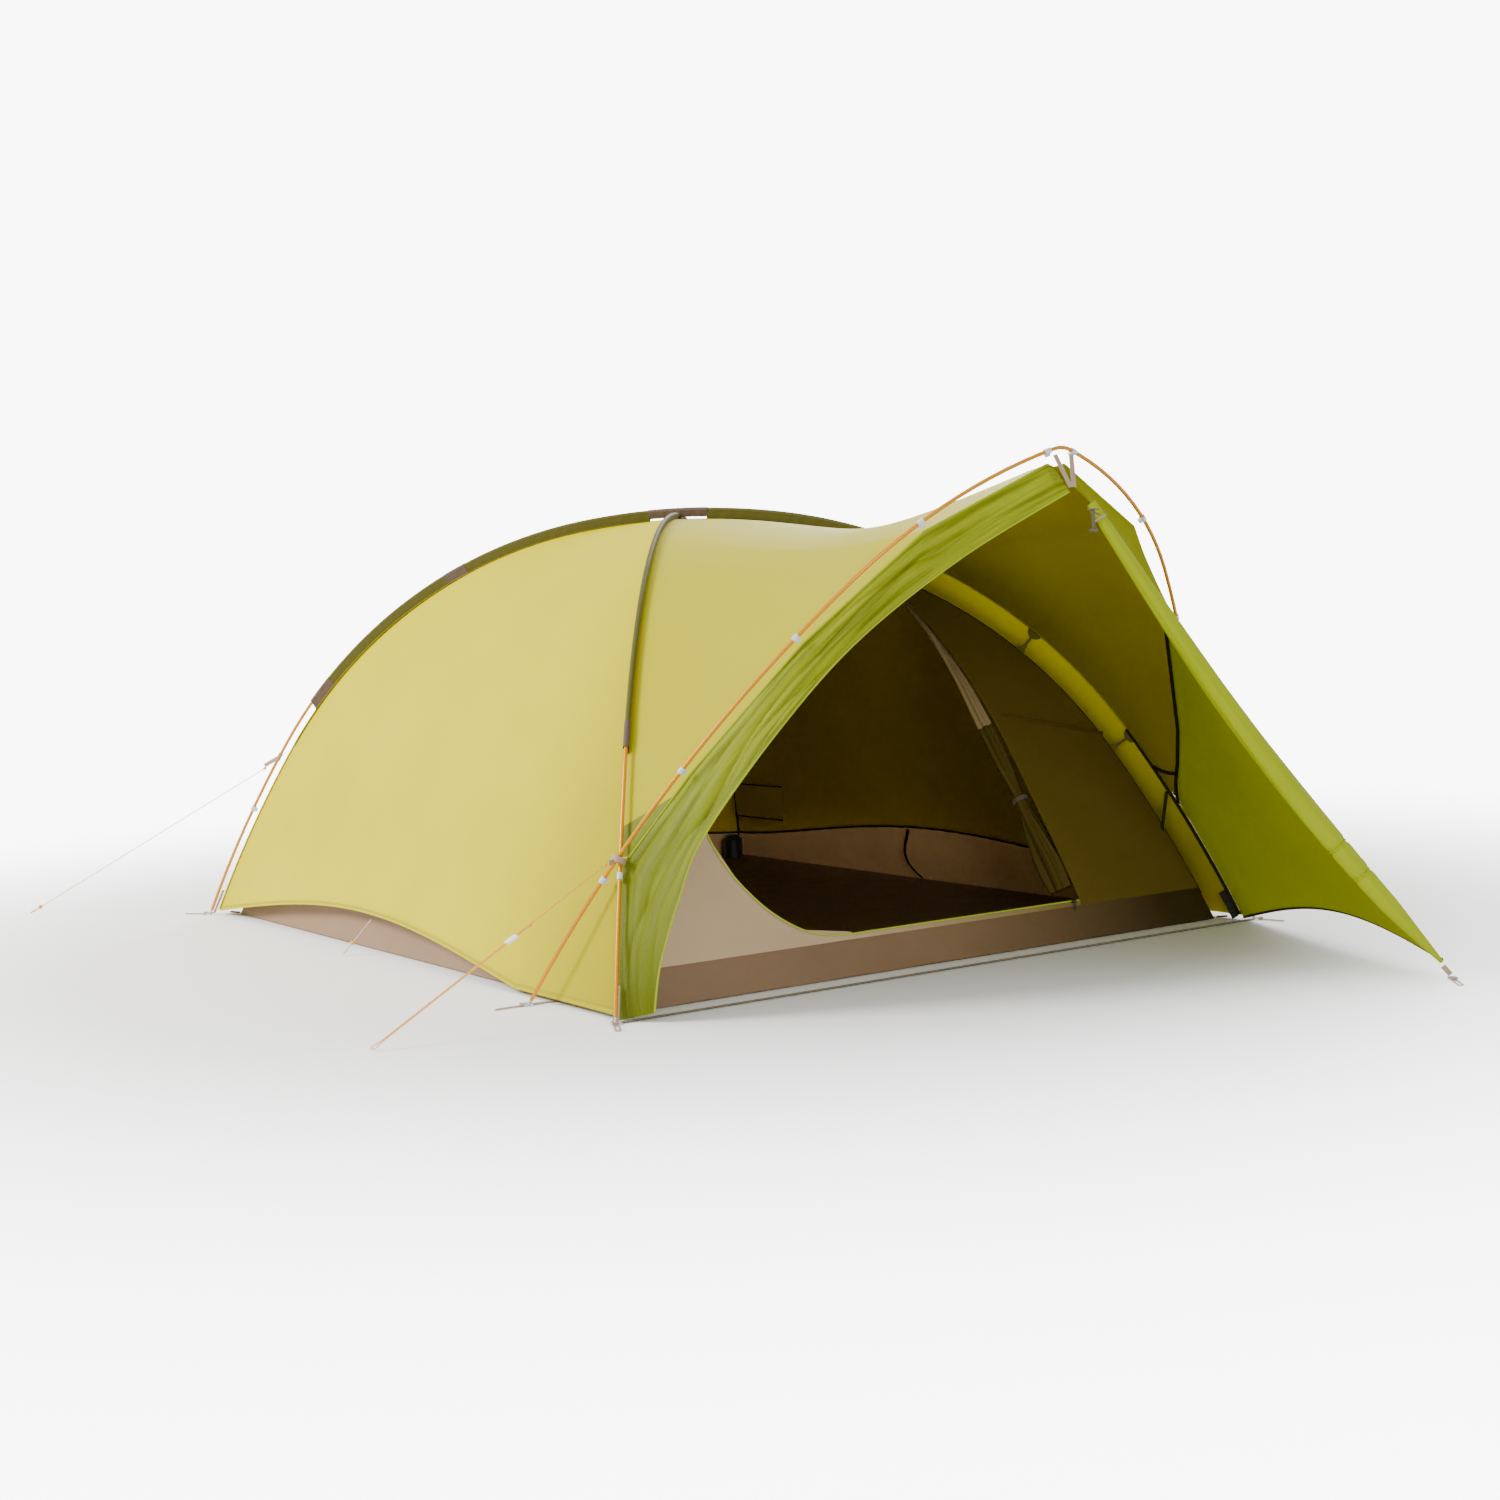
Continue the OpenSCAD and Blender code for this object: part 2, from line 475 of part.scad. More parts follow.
// Bathtub walls: four leaning panels in one ring that stands on the floor's edge
function tub_ring(z, inset) = let (x = inner_x(z) - inset, y = inner_y(z) - inset)
    [[-x, -y, z], [x, -y, z], [x, y, z], [-x, y, z]];
module tub_walls() color(BROWN) {
    z0 = floor_t;
    pts = concat(tub_ring(z0, 0), tub_ring(tub_h, 0), tub_ring(z0, cloth_t), tub_ring(tub_h, cloth_t));
    faces = [for (k = [0:3]) let (n = (k + 1) % 4) each [[k, k + 4, n + 4, n], [k + 8, n + 8, n + 12, k + 12],
        [k, n, n + 8, k + 8], [k + 4, k + 12, n + 12, n + 4]]];
    polyhedron(pts, faces);
}
wall_z = tub_h + 2;
inner_sag = 18;
function inner_grid(f) = [for (i = [0:9]) [for (j = [-8:8])
    f == 0 ? wall_pt(inner_gap, wall_len(inner_gap, wall_z), j / 8, i / 9, inner_sag)
    : end_pt(inner_gap, wall_len(inner_gap, wall_z), j / 8, i / 9, inner_sag)]];
module inner_right() color(GREIGE) sheet([for (row = inner_grid(0)) [for (j = [len(row) - 1:-1:0]) row[j]]]);
module inner_left() color(GREIGE) sheet([for (row = inner_grid(0)) [for (p = row) [-p[0], p[1], p[2]]]]);
module inner_rear() color(GREIGE) sheet(inner_grid(1));

// The front wall leans back like the others; the doorway lies between these two edges, as height to x
door_top = 960;
DOOR_LEFT = [[90, -250], [106, -268], [127, -411], [196, -504], [260, -554], [365, -601],
    [480, -612], [600, -590], [760, -510], [900, -370], [960, -250]];
DOOR_RIGHT = [[90, 492], [366, 440], [594, 405], [900, 360], [960, 340]];
function front_z(z0, z1, i, n) = mix(z0, z1, pow(i / n, 1.3));
module front_sheet(z0, z1, left, right, n = 9, m = 6) sheet([for (i = [0:n]) let (z = front_z(z0, z1, i, n),
    y = -inner_y(z), r = inner_x(z) - seam_gap,
    a = left ? lookup(z, left) : -r, b = right ? lookup(z, right) : r)
    [for (j = [0:m]) [mix(a, b, j / m), y, z]]]);
module inner_front_left() color(GREIGE) front_sheet(wall_z, 930, false, DOOR_LEFT, 14, 5);
module inner_front_right() color(GREIGE) front_sheet(wall_z, 925, DOOR_RIGHT, false);
module inner_front_top() color(GREIGE)
    front_sheet(door_top, on_chain(dome, dome_len - crown_stop, inner_gap)[1],
    false, false, 4, 8);

// Piping with the zip round the lower left of the doorway; the slider runs on its level stretch
piping_r = 2;
function front_pt(x, z, out) = [x, -inner_y(z) - out, z];
pipe_out = 8;
sill_z = 102;
PIPING = [[-612, 470], [-610, 420], [-600, 360], [-584, 310], [-560, 265], [-528, 222],
    [-490, 182], [-448, 150], [-400, 124], [-350, 109], [-290, sill_z], [-200, sill_z],
    [0, sill_z], [250, sill_z], [485, sill_z]];
module door_piping() color("#b7c63a")
    cord([for (p = PIPING) front_pt(p[0], p[1], pipe_out)], piping_r, [0, 1, 0]);
SLIDER_AT = front_pt(462, sill_z, pipe_out);
module door_slider() color("#3c3a36") translate(SLIDER_AT) {
    difference() {
        cube([14, 8, 8], center = true);
        rotate([0, 90, 0]) cylinder(r = piping_r + 0.6, h = 40, center = true);
    }
    translate([-3, -5.4, -24]) cube([6, 1.6, 27]);
}
// The unzipped door panel hangs gathered behind the right edge of the doorway
DOOR_RUN = [[398, 905], [400, 820], [403, 700], [408, 600], [420, 480],
    [437, 366], [452, 280], [468, 200], [480, 125]];
DOOR_R = [12, 24, 30, 30, 24, 13, 24, 30, 22];
door_in = 44;
function door_run_pt(i) = front_pt(DOOR_RUN[i][0] - 6, DOOR_RUN[i][1], -door_in);
module door_panel() color("#8e8062") cord([for (i = [0:8]) door_run_pt(i)], DOOR_R, [0, 1, 0], 10);
module door_tie() color(BEIGE) along(door_run_pt(5), door_run_pt(4)) translate([0, 0, -6]) difference() {
    cylinder(r = 20.6, h = 12);
    translate([0, 0, -10]) cylinder(r = 19.4, h = 40);
}
// Straps that hang the inner tent from the seams of the fly
HANG_L = [610, 1010, 1390, 1880];
module hangers() color("#6d6440") for (c = LEGS, l = HANG_L)
    let (d = [c[0] * foot_y, -c[1] * foot_x, 0] / dome_w)
    ribbon(dome_pt(c[0], c[1], l, fly_gap + 4), dome_pt(c[0], c[1], l, inner_gap - 3),
        cross(d, unit(dome_pt(c[0], c[1], l, 1) - dome_pt(c[0], c[1], l, 2))), 10, 1.2);
module corner_hooks() color("#6a1f24") for (c = LEGS) let (u = unit([c[0] * foot_x, c[1] * foot_y, 0])) {
    p = [c[0] * floor_x, c[1] * floor_y, 0];
    ribbon(p + 4 * u + [0, 0, 7], p + 34 * u + [0, 0, 9], cross(u, [0, 0, 1]), 10, 4);
}
pocket_x = inner_x(285) - 24;
module pocket() color("#57492f")
    ribbon([pocket_x, 730, 222], [pocket_x, 1030, 222], [0, 0, 1], 116, 2);
module stowed_bundle() color("#1d1b19") translate([floor_x - 95, floor_y - 95, 4]) {
    cylinder(r = 34, h = 70);
    translate([0, 0, 70]) cylinder(r1 = 34, r2 = 18, h = 16);
}

// ---- guylines ---------------------------------------------------------------------------------------
cord_r = cord_d / 2;
GUY_F_TOP = [-946, -1131, 344];
GUY_F_END = [-1556, -1139, 5];
GUY_R_TOP = [-877, 1086, 464];
GUY_R_END = [-1440, 1755, 5];
GUY_S_TOP = [-990, 98, 96];
GUY_S_END = [-1062, 132, 5];
// A line runs from p to q on one side of its middle, round an eye at q, and back on the other side
eye_r = 9;
function line_pt(p, q, d, gap) = p + d * unit(q - p) + gap * unit(cross([0, 0, 1], q - p));
function line_eye(p, q) = let (u = unit(q - p), v = unit(cross([0, 0, 1], u)), c = q - eye_r * u)
    [for (b = [-120:30:120]) c + eye_r * (sin(b) * v + cos(b) * u)];
function line_points(p, q, gap, step, back) = let (l = norm(q - p) - 30) concat(
    [for (d = [0:step:l]) line_pt(p, q, d, -gap)], line_eye(p, q),
    [for (d = [l:-step:back]) line_pt(p, q, d, gap)]);
// The front line doubles back up through the tensioner to a stopper knot; the others are tied off at the eye
leg_gap = 3.5;
eye_gap = 1.75;
tail_d = 236;
tens_d = 282;
tens_h = 30;
module guyline_front() color("#f2a24a") cord(line_points(GUY_F_TOP, GUY_F_END, leg_gap, 60, tail_d), cord_r);
function tied_line(p, q, step) = line_points(p, q, eye_gap, step, norm(q - p) - 48);
module guyline_rear() color("#f2b37a") cord(tied_line(GUY_R_TOP, GUY_R_END, 79.79), cord_r);
module guyline_side() color("#d8cbb2") cord(tied_line(GUY_S_TOP, GUY_S_END, 14), cord_r);
module tensioner() color("#f2f0ea") along(line_pt(GUY_F_TOP, GUY_F_END, tens_d, 0), GUY_F_END) difference() {
    translate([-3, -9, 0]) cube([6, 18, tens_h]);
    for (s = [-1, 1]) translate([0, s * leg_gap, -5]) cylinder(r = cord_r + 0.5, h = 60);
}
// Knots: barrels round one leg of a line or round both
knot_slack = 0.4;
module knot(p, q, d, gap, bore) along(line_pt(p, q, d, gap), line_pt(p, q, d + 1, gap)) rotate_extrude()
    translate([bore + 1.3, 0]) hull() for (z = [-3, 3]) translate([0, z]) circle(1.2);
module guy_knots() color("#e0873a") {
    knot(GUY_F_TOP, GUY_F_END, 6, -leg_gap, cord_r + knot_slack);
    knot(GUY_F_TOP, GUY_F_END, tail_d + 6, leg_gap, cord_r + knot_slack);
    knot(GUY_R_TOP, GUY_R_END, 6, -eye_gap, cord_r + knot_slack);
    knot(GUY_R_TOP, GUY_R_END, norm(GUY_R_END - GUY_R_TOP) - 40, 0, eye_gap + cord_r + knot_slack);
    knot(GUY_S_TOP, GUY_S_END, norm(GUY_S_END - GUY_S_TOP) - 40, 0, eye_gap + cord_r + knot_slack);
}

pole_a();
pole_b();
pole_c();
shock_cords();
pole_ferrules();
pole_tips();
sleeve_a();
sleeve_b();
sleeve_cuffs();
mid_patches();
crown_patch();
arch_clips();
leg_clips();
crossing_wraps();
rear_guy_straps();
peak_strap();
fly_left();
fly_right();
fly_rear();
fly_roof();
fly_band();
fly_side();
fly_roll();
roll_ties();
door_toggle();
foot_tabs();
foot_rings();
corner_gussets();
arch_foot_straps();
loop_fl();
loop_fr();
loop_rl();
loop_rr();
loop_cl();
loop_cr();
loop_tip();
tip_ring();
inner_floor();
tub_walls();
inner_left();
inner_right();
inner_rear();
inner_front_left();
inner_front_right();
inner_front_top();
door_panel();
door_tie();
door_piping();
door_slider();
hangers();
corner_hooks();
pocket();
stowed_bundle();
floor_strap();
guyline_front();
guyline_rear();
guyline_side();
tensioner();
guy_knots();
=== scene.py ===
"""Dome tent: the looks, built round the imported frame. Metres, +Z up, entrance towards -Y."""

import math

import bmesh
import bpy
import numpy as np
from mathutils import Matrix, Vector, noise


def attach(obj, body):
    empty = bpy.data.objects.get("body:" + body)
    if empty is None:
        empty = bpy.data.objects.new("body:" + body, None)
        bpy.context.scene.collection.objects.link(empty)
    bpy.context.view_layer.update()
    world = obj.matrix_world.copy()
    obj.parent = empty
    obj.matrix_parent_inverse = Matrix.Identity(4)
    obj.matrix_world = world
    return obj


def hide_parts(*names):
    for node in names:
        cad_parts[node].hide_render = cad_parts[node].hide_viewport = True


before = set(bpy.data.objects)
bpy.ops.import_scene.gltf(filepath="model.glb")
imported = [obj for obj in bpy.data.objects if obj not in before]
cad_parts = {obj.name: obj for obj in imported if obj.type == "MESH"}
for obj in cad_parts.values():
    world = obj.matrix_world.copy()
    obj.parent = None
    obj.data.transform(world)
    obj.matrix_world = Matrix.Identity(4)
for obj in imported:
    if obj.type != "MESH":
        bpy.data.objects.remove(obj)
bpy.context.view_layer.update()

# ---- the design's driving sizes ----
FOOT_X = 1.020
FOOT_Y = 1.260
ARCH_FOOT_X = 1.051
ARCH_FOOT_Y = 0.910
ARCH_TILT = math.radians(30.9)
FLY_GAP = 0.026
ARCH_GAP = 0.030
INNER_GAP = 0.098
TUB_H = 0.088
HEM_H = 0.092
ROLL_R = 0.027
SPAN = math.hypot(FOOT_X, FOOT_Y)


def vec(*v):
    return np.array(v, float)


def unit(v):
    return v / np.maximum(np.linalg.norm(v, axis=-1, keepdims=True), 1e-12)


UP = vec(0, 0, 1)
MIRROR = vec(-1, 1, 1)


def mix(a, b, t):
    return a + (b - a) * t


def smooth(t):
    t = np.clip(t, 0, 1)
    return t * t * (3 - 2 * t)


def steps(count):
    return np.linspace(0, 1, count)


def hump(t):
    """0 at t = 0 and 1, and 1 half way."""
    return np.sin(math.pi * t)


class Pole:
    """Half of a bent pole in its own plane: arcs that join smoothly, from the foot to the crown."""

    def __init__(self, half_span, lean, arcs):
        self.arcs = []
        self.length = 0.0
        x, z, turn = half_span, 0.0, math.radians(90 + lean)
        for radius, degrees in arcs:
            self.arcs.append((self.length, x, z, turn, radius))
            after = turn + math.radians(degrees)
            x += radius * (math.sin(after) - math.sin(turn))
            z += radius * (math.cos(turn) - math.cos(after))
            self.length += radius * math.radians(degrees)
            turn = after
        closing = math.pi - turn
        radius = x / math.sin(closing)
        self.arcs.append((self.length, x, z, turn, radius))
        self.length += radius * closing

    def at(self, length, inward=0.0):
        """Distance from the middle and height, at a length from the foot and so far inside the pole."""
        length, inward = np.broadcast_arrays(np.asarray(length, float), np.asarray(inward, float))
        x, z = np.zeros(length.shape), np.zeros(length.shape)
        for i, (start, x0, z0, turn, radius) in enumerate(self.arcs):
            here = (length >= start) | (i == 0)
            angle = turn + (length - start) / radius
            x = np.where(here, x0 + radius * (np.sin(angle) - math.sin(turn)) - inward * np.sin(angle), x)
            z = np.where(here, z0 + radius * (math.cos(turn) - np.cos(angle)) + inward * np.cos(angle), z)
        return x, z

    def length_at(self, height, inward=0.0):
        lengths = np.linspace(0, self.length, 1200)
        return np.interp(height, self.at(lengths, inward)[1], lengths)


DOME = Pole(SPAN, 24.5, [(3.630, 9.8), (1.490, 47.3)])
DOME_B = Pole(SPAN, 25.0, [(3.630, 9.8), (1.490, 47.3)])
ARCH = Pole(ARCH_FOOT_X, 14.2, [(2.940, 24.8), (1.060, 31.0)])


def dome_chain(sx, sy):
    return DOME if sx * sy < 0 else DOME_B


def dome_pt(sx, sy, length, inward=0.0, chain=None):
    x, z = (chain or DOME).at(length, inward)
    return np.stack([sx * x * FOOT_X / SPAN, sy * x * FOOT_Y / SPAN, z], -1)


def across_pole(sx, sy):
    """Level direction at right angles to the dome pole of a corner."""
    return vec(-sy * FOOT_Y, sx * FOOT_X, 0) / SPAN


def corners():
    """Signs of X and Y at each corner of the dome, and the tag in the names of its pieces."""
    for sx in (-1, 1):
        for sy in (-1, 1):
            yield sx, sy, f"{'r' if sx > 0 else 'l'}{'r' if sy > 0 else 'f'}"


def arch_pt(sx, length, inward):
    x, z = ARCH.at(length, inward)
    return np.stack([sx * x, -ARCH_FOOT_Y - z * math.sin(ARCH_TILT), z * math.cos(ARCH_TILT)], -1)


def spline(points, t):
    """Smooth curve through points; t runs from 0 to 1."""
    p = np.asarray(points, float)
    t = np.clip(np.asarray(t, float), 0, 1) * (len(p) - 1)
    i = np.minimum(t.astype(int), len(p) - 2)
    u = (t - i)[..., None]
    a, b, c, d = p[np.maximum(i - 1, 0)], p[i], p[i + 1], p[np.minimum(i + 2, len(p) - 1)]
    return 0.5 * (2 * b + (c - a) * u + (2 * a - 5 * b + 4 * c - d) * u**2 + (3 * b - a - 3 * c + d) * u**3)


def add_object(name, data):
    o = bpy.data.objects.new(name, data)
    bpy.context.scene.collection.objects.link(o)
    return o


# ---- camera and lights ----
def add_camera():
    """The photograph's view: yaw from +Y, pitch and roll, with a lens that frames the tent as it does."""
    yaw, pitch, roll = 0.592, -0.071, -0.04
    place = (-3.502, -5.534, 0.953)
    forward = Vector((math.sin(yaw) * math.cos(pitch), math.cos(yaw) * math.cos(pitch), math.sin(pitch)))
    right = Vector((math.cos(yaw), -math.sin(yaw), 0))
    up = right.cross(forward)
    x = right * math.cos(roll) + up * math.sin(roll)
    y = -right * math.sin(roll) + up * math.cos(roll)
    cam = add_object("camera", bpy.data.cameras.new("camera"))
    cam.matrix_world = Matrix.Translation(place) @ Matrix((x, y, -forward)).transposed().to_4x4()
    cam.data.sensor_width = 36
    cam.data.lens = 53.5
    bpy.context.scene.camera = cam


def add_light(name, place, target, size, power, color=(1, 1, 1)):
    light = bpy.data.lights.new(name, "AREA")
    light.shape = "DISK"
    light.size = size
    light.energy = power
    light.color = color
    o = add_object(name, light)
    o.location = place
    o.rotation_euler = (Vector(target) - Vector(place)).to_track_quat("-Z", "Y").to_euler()


def add_studio():
    """Even soft light from all round, and a bright wall that only the lens sees."""
    world = bpy.data.worlds.new("studio")
    world.use_nodes = True
    tree = world.node_tree
    soft = tree.nodes["Background"]
    wall = tree.nodes.new("ShaderNodeBackground")
    for background, strength in ((soft, 1.15), (wall, 9.0)):
        background.inputs["Color"].default_value = (1, 1, 1, 1)
        background.inputs["Strength"].default_value = strength
    seen = tree.nodes.new("ShaderNodeLightPath")
    both = tree.nodes.new("ShaderNodeMixShader")
    tree.links.new(seen.outputs["Is Camera Ray"], both.inputs[0])
    tree.links.new(soft.outputs[0], both.inputs[1])
    tree.links.new(wall.outputs[0], both.inputs[2])
    tree.links.new(both.outputs[0], tree.nodes["World Output"].inputs["Surface"])
    bpy.context.scene.world = world
    add_light("key", (-6.4, 2.2, 4.6), (0, 0, 0.5), 3.0, 850, (1, 0.98, 0.94))
    add_light("top", (-0.5, 1.5, 7.0), (0, 0, 0.5), 3.5, 160)
    add_light("back", (4.5, 3.5, 4.5), (0, -0.4, 0.6), 3.0, 420, (1, 0.98, 0.95))
    add_light("fill", (-2.6, -6.5, 1.3), (0.1, 0.2, 0.3), 1.6, 95)


# ---- materials ----
def srgb(r, g, b):
    """Linear colour from 0-255 values as a screen shows them."""
    c = [v / 255 for v in (r, g, b)]
    return tuple(v / 12.92 if v <= 0.04045 else ((v + 0.055) / 1.055) ** 2.4 for v in c)


class Nodes:
    """Short calls for building one material's nodes."""

    def __init__(self, name):
        self.material = bpy.data.materials.new(name)
        self.material.use_nodes = True
        self.tree = self.material.node_tree
        self.tree.nodes.clear()
        self.out = self.tree.nodes.new("ShaderNodeOutputMaterial")

    def add(self, kind, inputs=None, **settings):
        node = self.tree.nodes.new("ShaderNode" + kind)
        for key, value in settings.items():
            setattr(node, key, value)
        for key, value in (inputs or {}).items():
            if isinstance(value, bpy.types.NodeSocket):
                self.tree.links.new(value, node.inputs[key])
            else:
                node.inputs[key].default_value = value
        return node

    def math(self, operation, a, b=0.5):
        return self.add("Math", {0: a, 1: b}, operation=operation).outputs[0]

    def times(self, a, b):
        return self.math("MULTIPLY", a, b)

    def plus(self, a, b):
        return self.math("ADD", a, b)

    def place(self):
        """Where a point is on its object, in metres."""
        return self.add("TexCoord").outputs["Object"]

    def mapped(self, place, rotation, scale=(1, 1, 1)):
        return self.add("Mapping", {"Vector": place, "Rotation": rotation, "Scale": scale}).outputs[0]

    def noise(self, place, scale, detail=3.0, rough=0.55):
        inputs = {"Vector": place, "Scale": scale, "Detail": detail, "Roughness": rough}
        return self.add("TexNoise", inputs).outputs["Fac"]

    def wave(self, place, period, axis):
        """0 to 1 sine bands of that period, in metres, along an axis."""
        inputs = {"Vector": place, "Scale": 0.314159 / period, "Distortion": 0.0}
        return self.add("TexWave", inputs, bands_direction=axis).outputs["Fac"]

    def blend(self, fac, a, b):
        n = self.add("Mix", data_type="RGBA")
        for key, value in ((0, fac), (6, a), (7, b)):
            if isinstance(value, bpy.types.NodeSocket):
                self.tree.links.new(value, n.inputs[key])
            else:
                n.inputs[key].default_value = value if key == 0 else (*value[:3], 1)
        return n.outputs[2]

    def ramp(self, fac, low, high, **settings):
        """0 below low, 1 above high."""
        inputs = {"Value": fac, "From Min": low, "From Max": high}
        return self.add("MapRange", inputs, clamp=True, **settings).outputs[0]

    def bump(self, height, distance, strength=1.0, normal=None):
        inputs = {"Height": height, "Distance": distance, "Strength": strength}
        if normal is not None:
            inputs["Normal"] = normal
        return self.add("Bump", inputs).outputs[0]

    def surface(self, base, rough, more):
        """The one shader of a material: base colour, roughness and its other inputs by name."""
        return self.add("BsdfPrincipled", {"Base Color": base, "Roughness": rough, **more}).outputs[0]

    def finish(self, shader):
        self.tree.links.new(shader, self.out.inputs["Surface"])
        return self.material


def scaled(color, k):
    return tuple(min(v * k, 1.0) for v in color)


def fabric(name, color, glow=None, through=0.0, weave=0.0009, rip=0.0, rough=0.55, sheen=0.0, mottle=0.10,
           crinkle=0.0006, gloss=0.35, streaks=0.0, painted_shade=None):
    """Woven cloth: fine weave and rip grid from the sheet's own measure, soft mottling, small crinkles.
    Painted shade is a second, darker colour that stands in for shade, given with its axis, where it starts
    along that axis and where it is full."""
    n = Nodes(name)
    measure = n.add("UVMap", uv_map="measure").outputs[0]
    place = n.place()
    threads = n.times(n.wave(measure, weave, "X"), n.wave(measure, weave, "Y"))
    cloud = n.noise(place, 2.2, 4)
    patches = n.ramp(cloud, 0.3, 0.7)
    streak = n.noise(place, 38, 3, 0.7)
    base = n.blend(patches, scaled(color, 1 - mottle), scaled(color, 1 + mottle * 0.6))
    # Streaks are painted highlight and painted shade along the wrinkles: drawn bands lighter and darker than
    # the cloth.
    if streaks:
        drawn = n.noise(n.mapped(measure, (0, 0, 0.10), (2.5, 34.0, 1.0)), 1.0, 4, 0.6)
        base = n.blend(n.times(n.ramp(drawn, 0.42, 0.68), streaks), base, scaled(color, 1.9))
        base = n.blend(n.times(n.ramp(drawn, 0.48, 0.30), streaks), base, scaled(color, 0.55))
    # Painted shade: the colour blends into the darker one along an axis.
    if painted_shade:
        painted_shade_color, axis, start, full = painted_shade
        side = n.add("SeparateXYZ", {0: place}).outputs[axis]
        base = n.blend(n.ramp(side, start, full), base, painted_shade_color)
    base = n.blend(n.times(threads, 0.22), base, scaled(color, 0.72))
    normal = n.bump(streak, crinkle, 0.5)
    if rip:
        rows, columns = (n.ramp(n.wave(measure, rip, axis), 0.965, 1.0) for axis in "XY")
        grid = n.math("MAXIMUM", rows, columns)
        base = n.blend(n.times(grid, 0.16), base, scaled(color, 0.6))
        normal = n.bump(grid, 0.0002, 0.6, normal)
    normal = n.bump(threads, 0.00012, 0.7, normal)
    body = n.surface(base, n.plus(n.times(cloud, 0.14), rough - 0.07), {
        "Normal": normal, "Sheen Weight": sheen, "Sheen Roughness": 0.5, "Specular IOR Level": gloss})
    if not through:
        return n.finish(body)
    glowing = n.blend(patches, scaled(glow, 0.94), glow)
    light = n.add("BsdfTranslucent", {"Color": glowing, "Normal": normal}).outputs[0]
    return n.finish(n.add("MixShader", {0: through, 1: body, 2: light}).outputs[0])


def webbing(name, color):
    """Woven tape: ribs that lean both ways, frayed tone and a soft sheen."""
    n = Nodes(name)
    place = n.place()
    leans = (0.3, 0.4, 0.785), (-0.3, 0.5, -0.785)
    one, other = (n.wave(n.mapped(place, lean), 0.0024, "X") for lean in leans)
    ribs = n.math("MAXIMUM", one, other)
    fray = n.noise(place, 60, 4, 0.7)
    base = n.blend(n.ramp(ribs, 0.2, 0.9), scaled(color, 0.62), color)
    base = n.blend(n.times(n.ramp(fray, 0.5, 0.8), 0.35), base, scaled(color, 1.25))
    normal = n.bump(ribs, 0.0004, 0.9, n.bump(fray, 0.0003, 0.5))
    return n.finish(n.surface(base, n.plus(n.times(fray, 0.2), 0.6), {
        "Normal": normal, "Sheen Weight": 0.3, "Sheen Roughness": 0.4}))


def braid(name, color, fleck):
    """Braided cord: crossing strands with tracer flecks."""
    n = Nodes(name)
    place = n.place()
    leans = (0, 0.6, 0.5), (0, -0.6, -0.9)
    one, other = (n.wave(n.mapped(place, lean), 0.0022, "X") for lean in leans)
    strands = n.math("MAXIMUM", one, other)
    tracer = n.ramp(n.noise(place, 160, 1), 0.58, 0.62)
    base = n.blend(n.times(tracer, 0.5), n.blend(strands, scaled(color, 0.6), color), fleck)
    return n.finish(n.surface(base, n.plus(n.times(strands, 0.15), 0.5), {
        "Normal": n.bump(strands, 0.0003, 0.8), "Sheen Weight": 0.2}))


def metal(name, color, rough, shine=0.5):
    """Drawn tube or stamped part: streaks, faint scuffs and an anodised skin."""
    n = Nodes(name)
    place = n.place()
    fine = n.noise(place, 300, 2)
    scuff = n.ramp(n.noise(place, 34, 5, 0.7), 0.62, 0.78)
    drawn = n.blend(fine, scaled(color, 0.86), scaled(color, 1.08))
    base = n.blend(n.times(scuff, 0.25), drawn, scaled(color, 1.3))
    worn = n.plus(n.times(fine, 0.12), n.plus(n.times(scuff, 0.15), rough - 0.06))
    return n.finish(n.surface(base, worn, {
        "Metallic": shine, "Normal": n.bump(fine, 0.00005, 0.4), "Specular IOR Level": 0.3}))


def plastic(name, color, rough=0.42):
    """Moulded plastic with a fine grain and rubbed high spots."""
    n = Nodes(name)
    place = n.place()
    rub = n.noise(place, 55, 4)
    base = n.blend(n.ramp(rub, 0.35, 0.75), scaled(color, 0.86), scaled(color, 1.06))
    grain = n.bump(n.noise(place, 900, 3), 0.0001, 0.5)
    return n.finish(n.surface(base, n.plus(n.times(rub, 0.2), rough - 0.1), {"Normal": grain}))


def tape(name, color, stitch, width):
    """Folded hem or seam tape with two rows of stitches; U runs along it and V across it, in metres."""
    n = Nodes(name)
    measure = n.add("UVMap", uv_map="measure").outputs[0]
    split = n.add("SeparateXYZ", {0: measure})
    along, across = split.outputs[0], split.outputs[1]
    dash = n.ramp(n.wave(measure, 0.0045, "X"), 0.35, 0.5)
    offsets = (n.math("SUBTRACT", across, share * width) for share in (0.22, 0.78))
    one, other = (n.math("LESS_THAN", n.math("ABSOLUTE", offset), 0.0006) for offset in offsets)
    thread = n.times(n.math("MAXIMUM", one, other), dash)
    stretched = n.add("CombineXYZ", {0: n.times(along, 110.0), 1: n.times(across, 30.0)}).outputs[0]
    pucker = n.noise(stretched, 1.0, 3)
    base = n.blend(pucker, scaled(color, 0.8), scaled(color, 1.1))
    base = n.blend(n.times(thread, 0.8), base, stitch)
    normal = n.bump(thread, 0.0004, 0.8, n.bump(pucker, 0.0006, 0.6))
    return n.finish(n.surface(base, n.plus(n.times(pucker, 0.1), 0.55), {
        "Normal": normal, "Specular IOR Level": 0.1}))


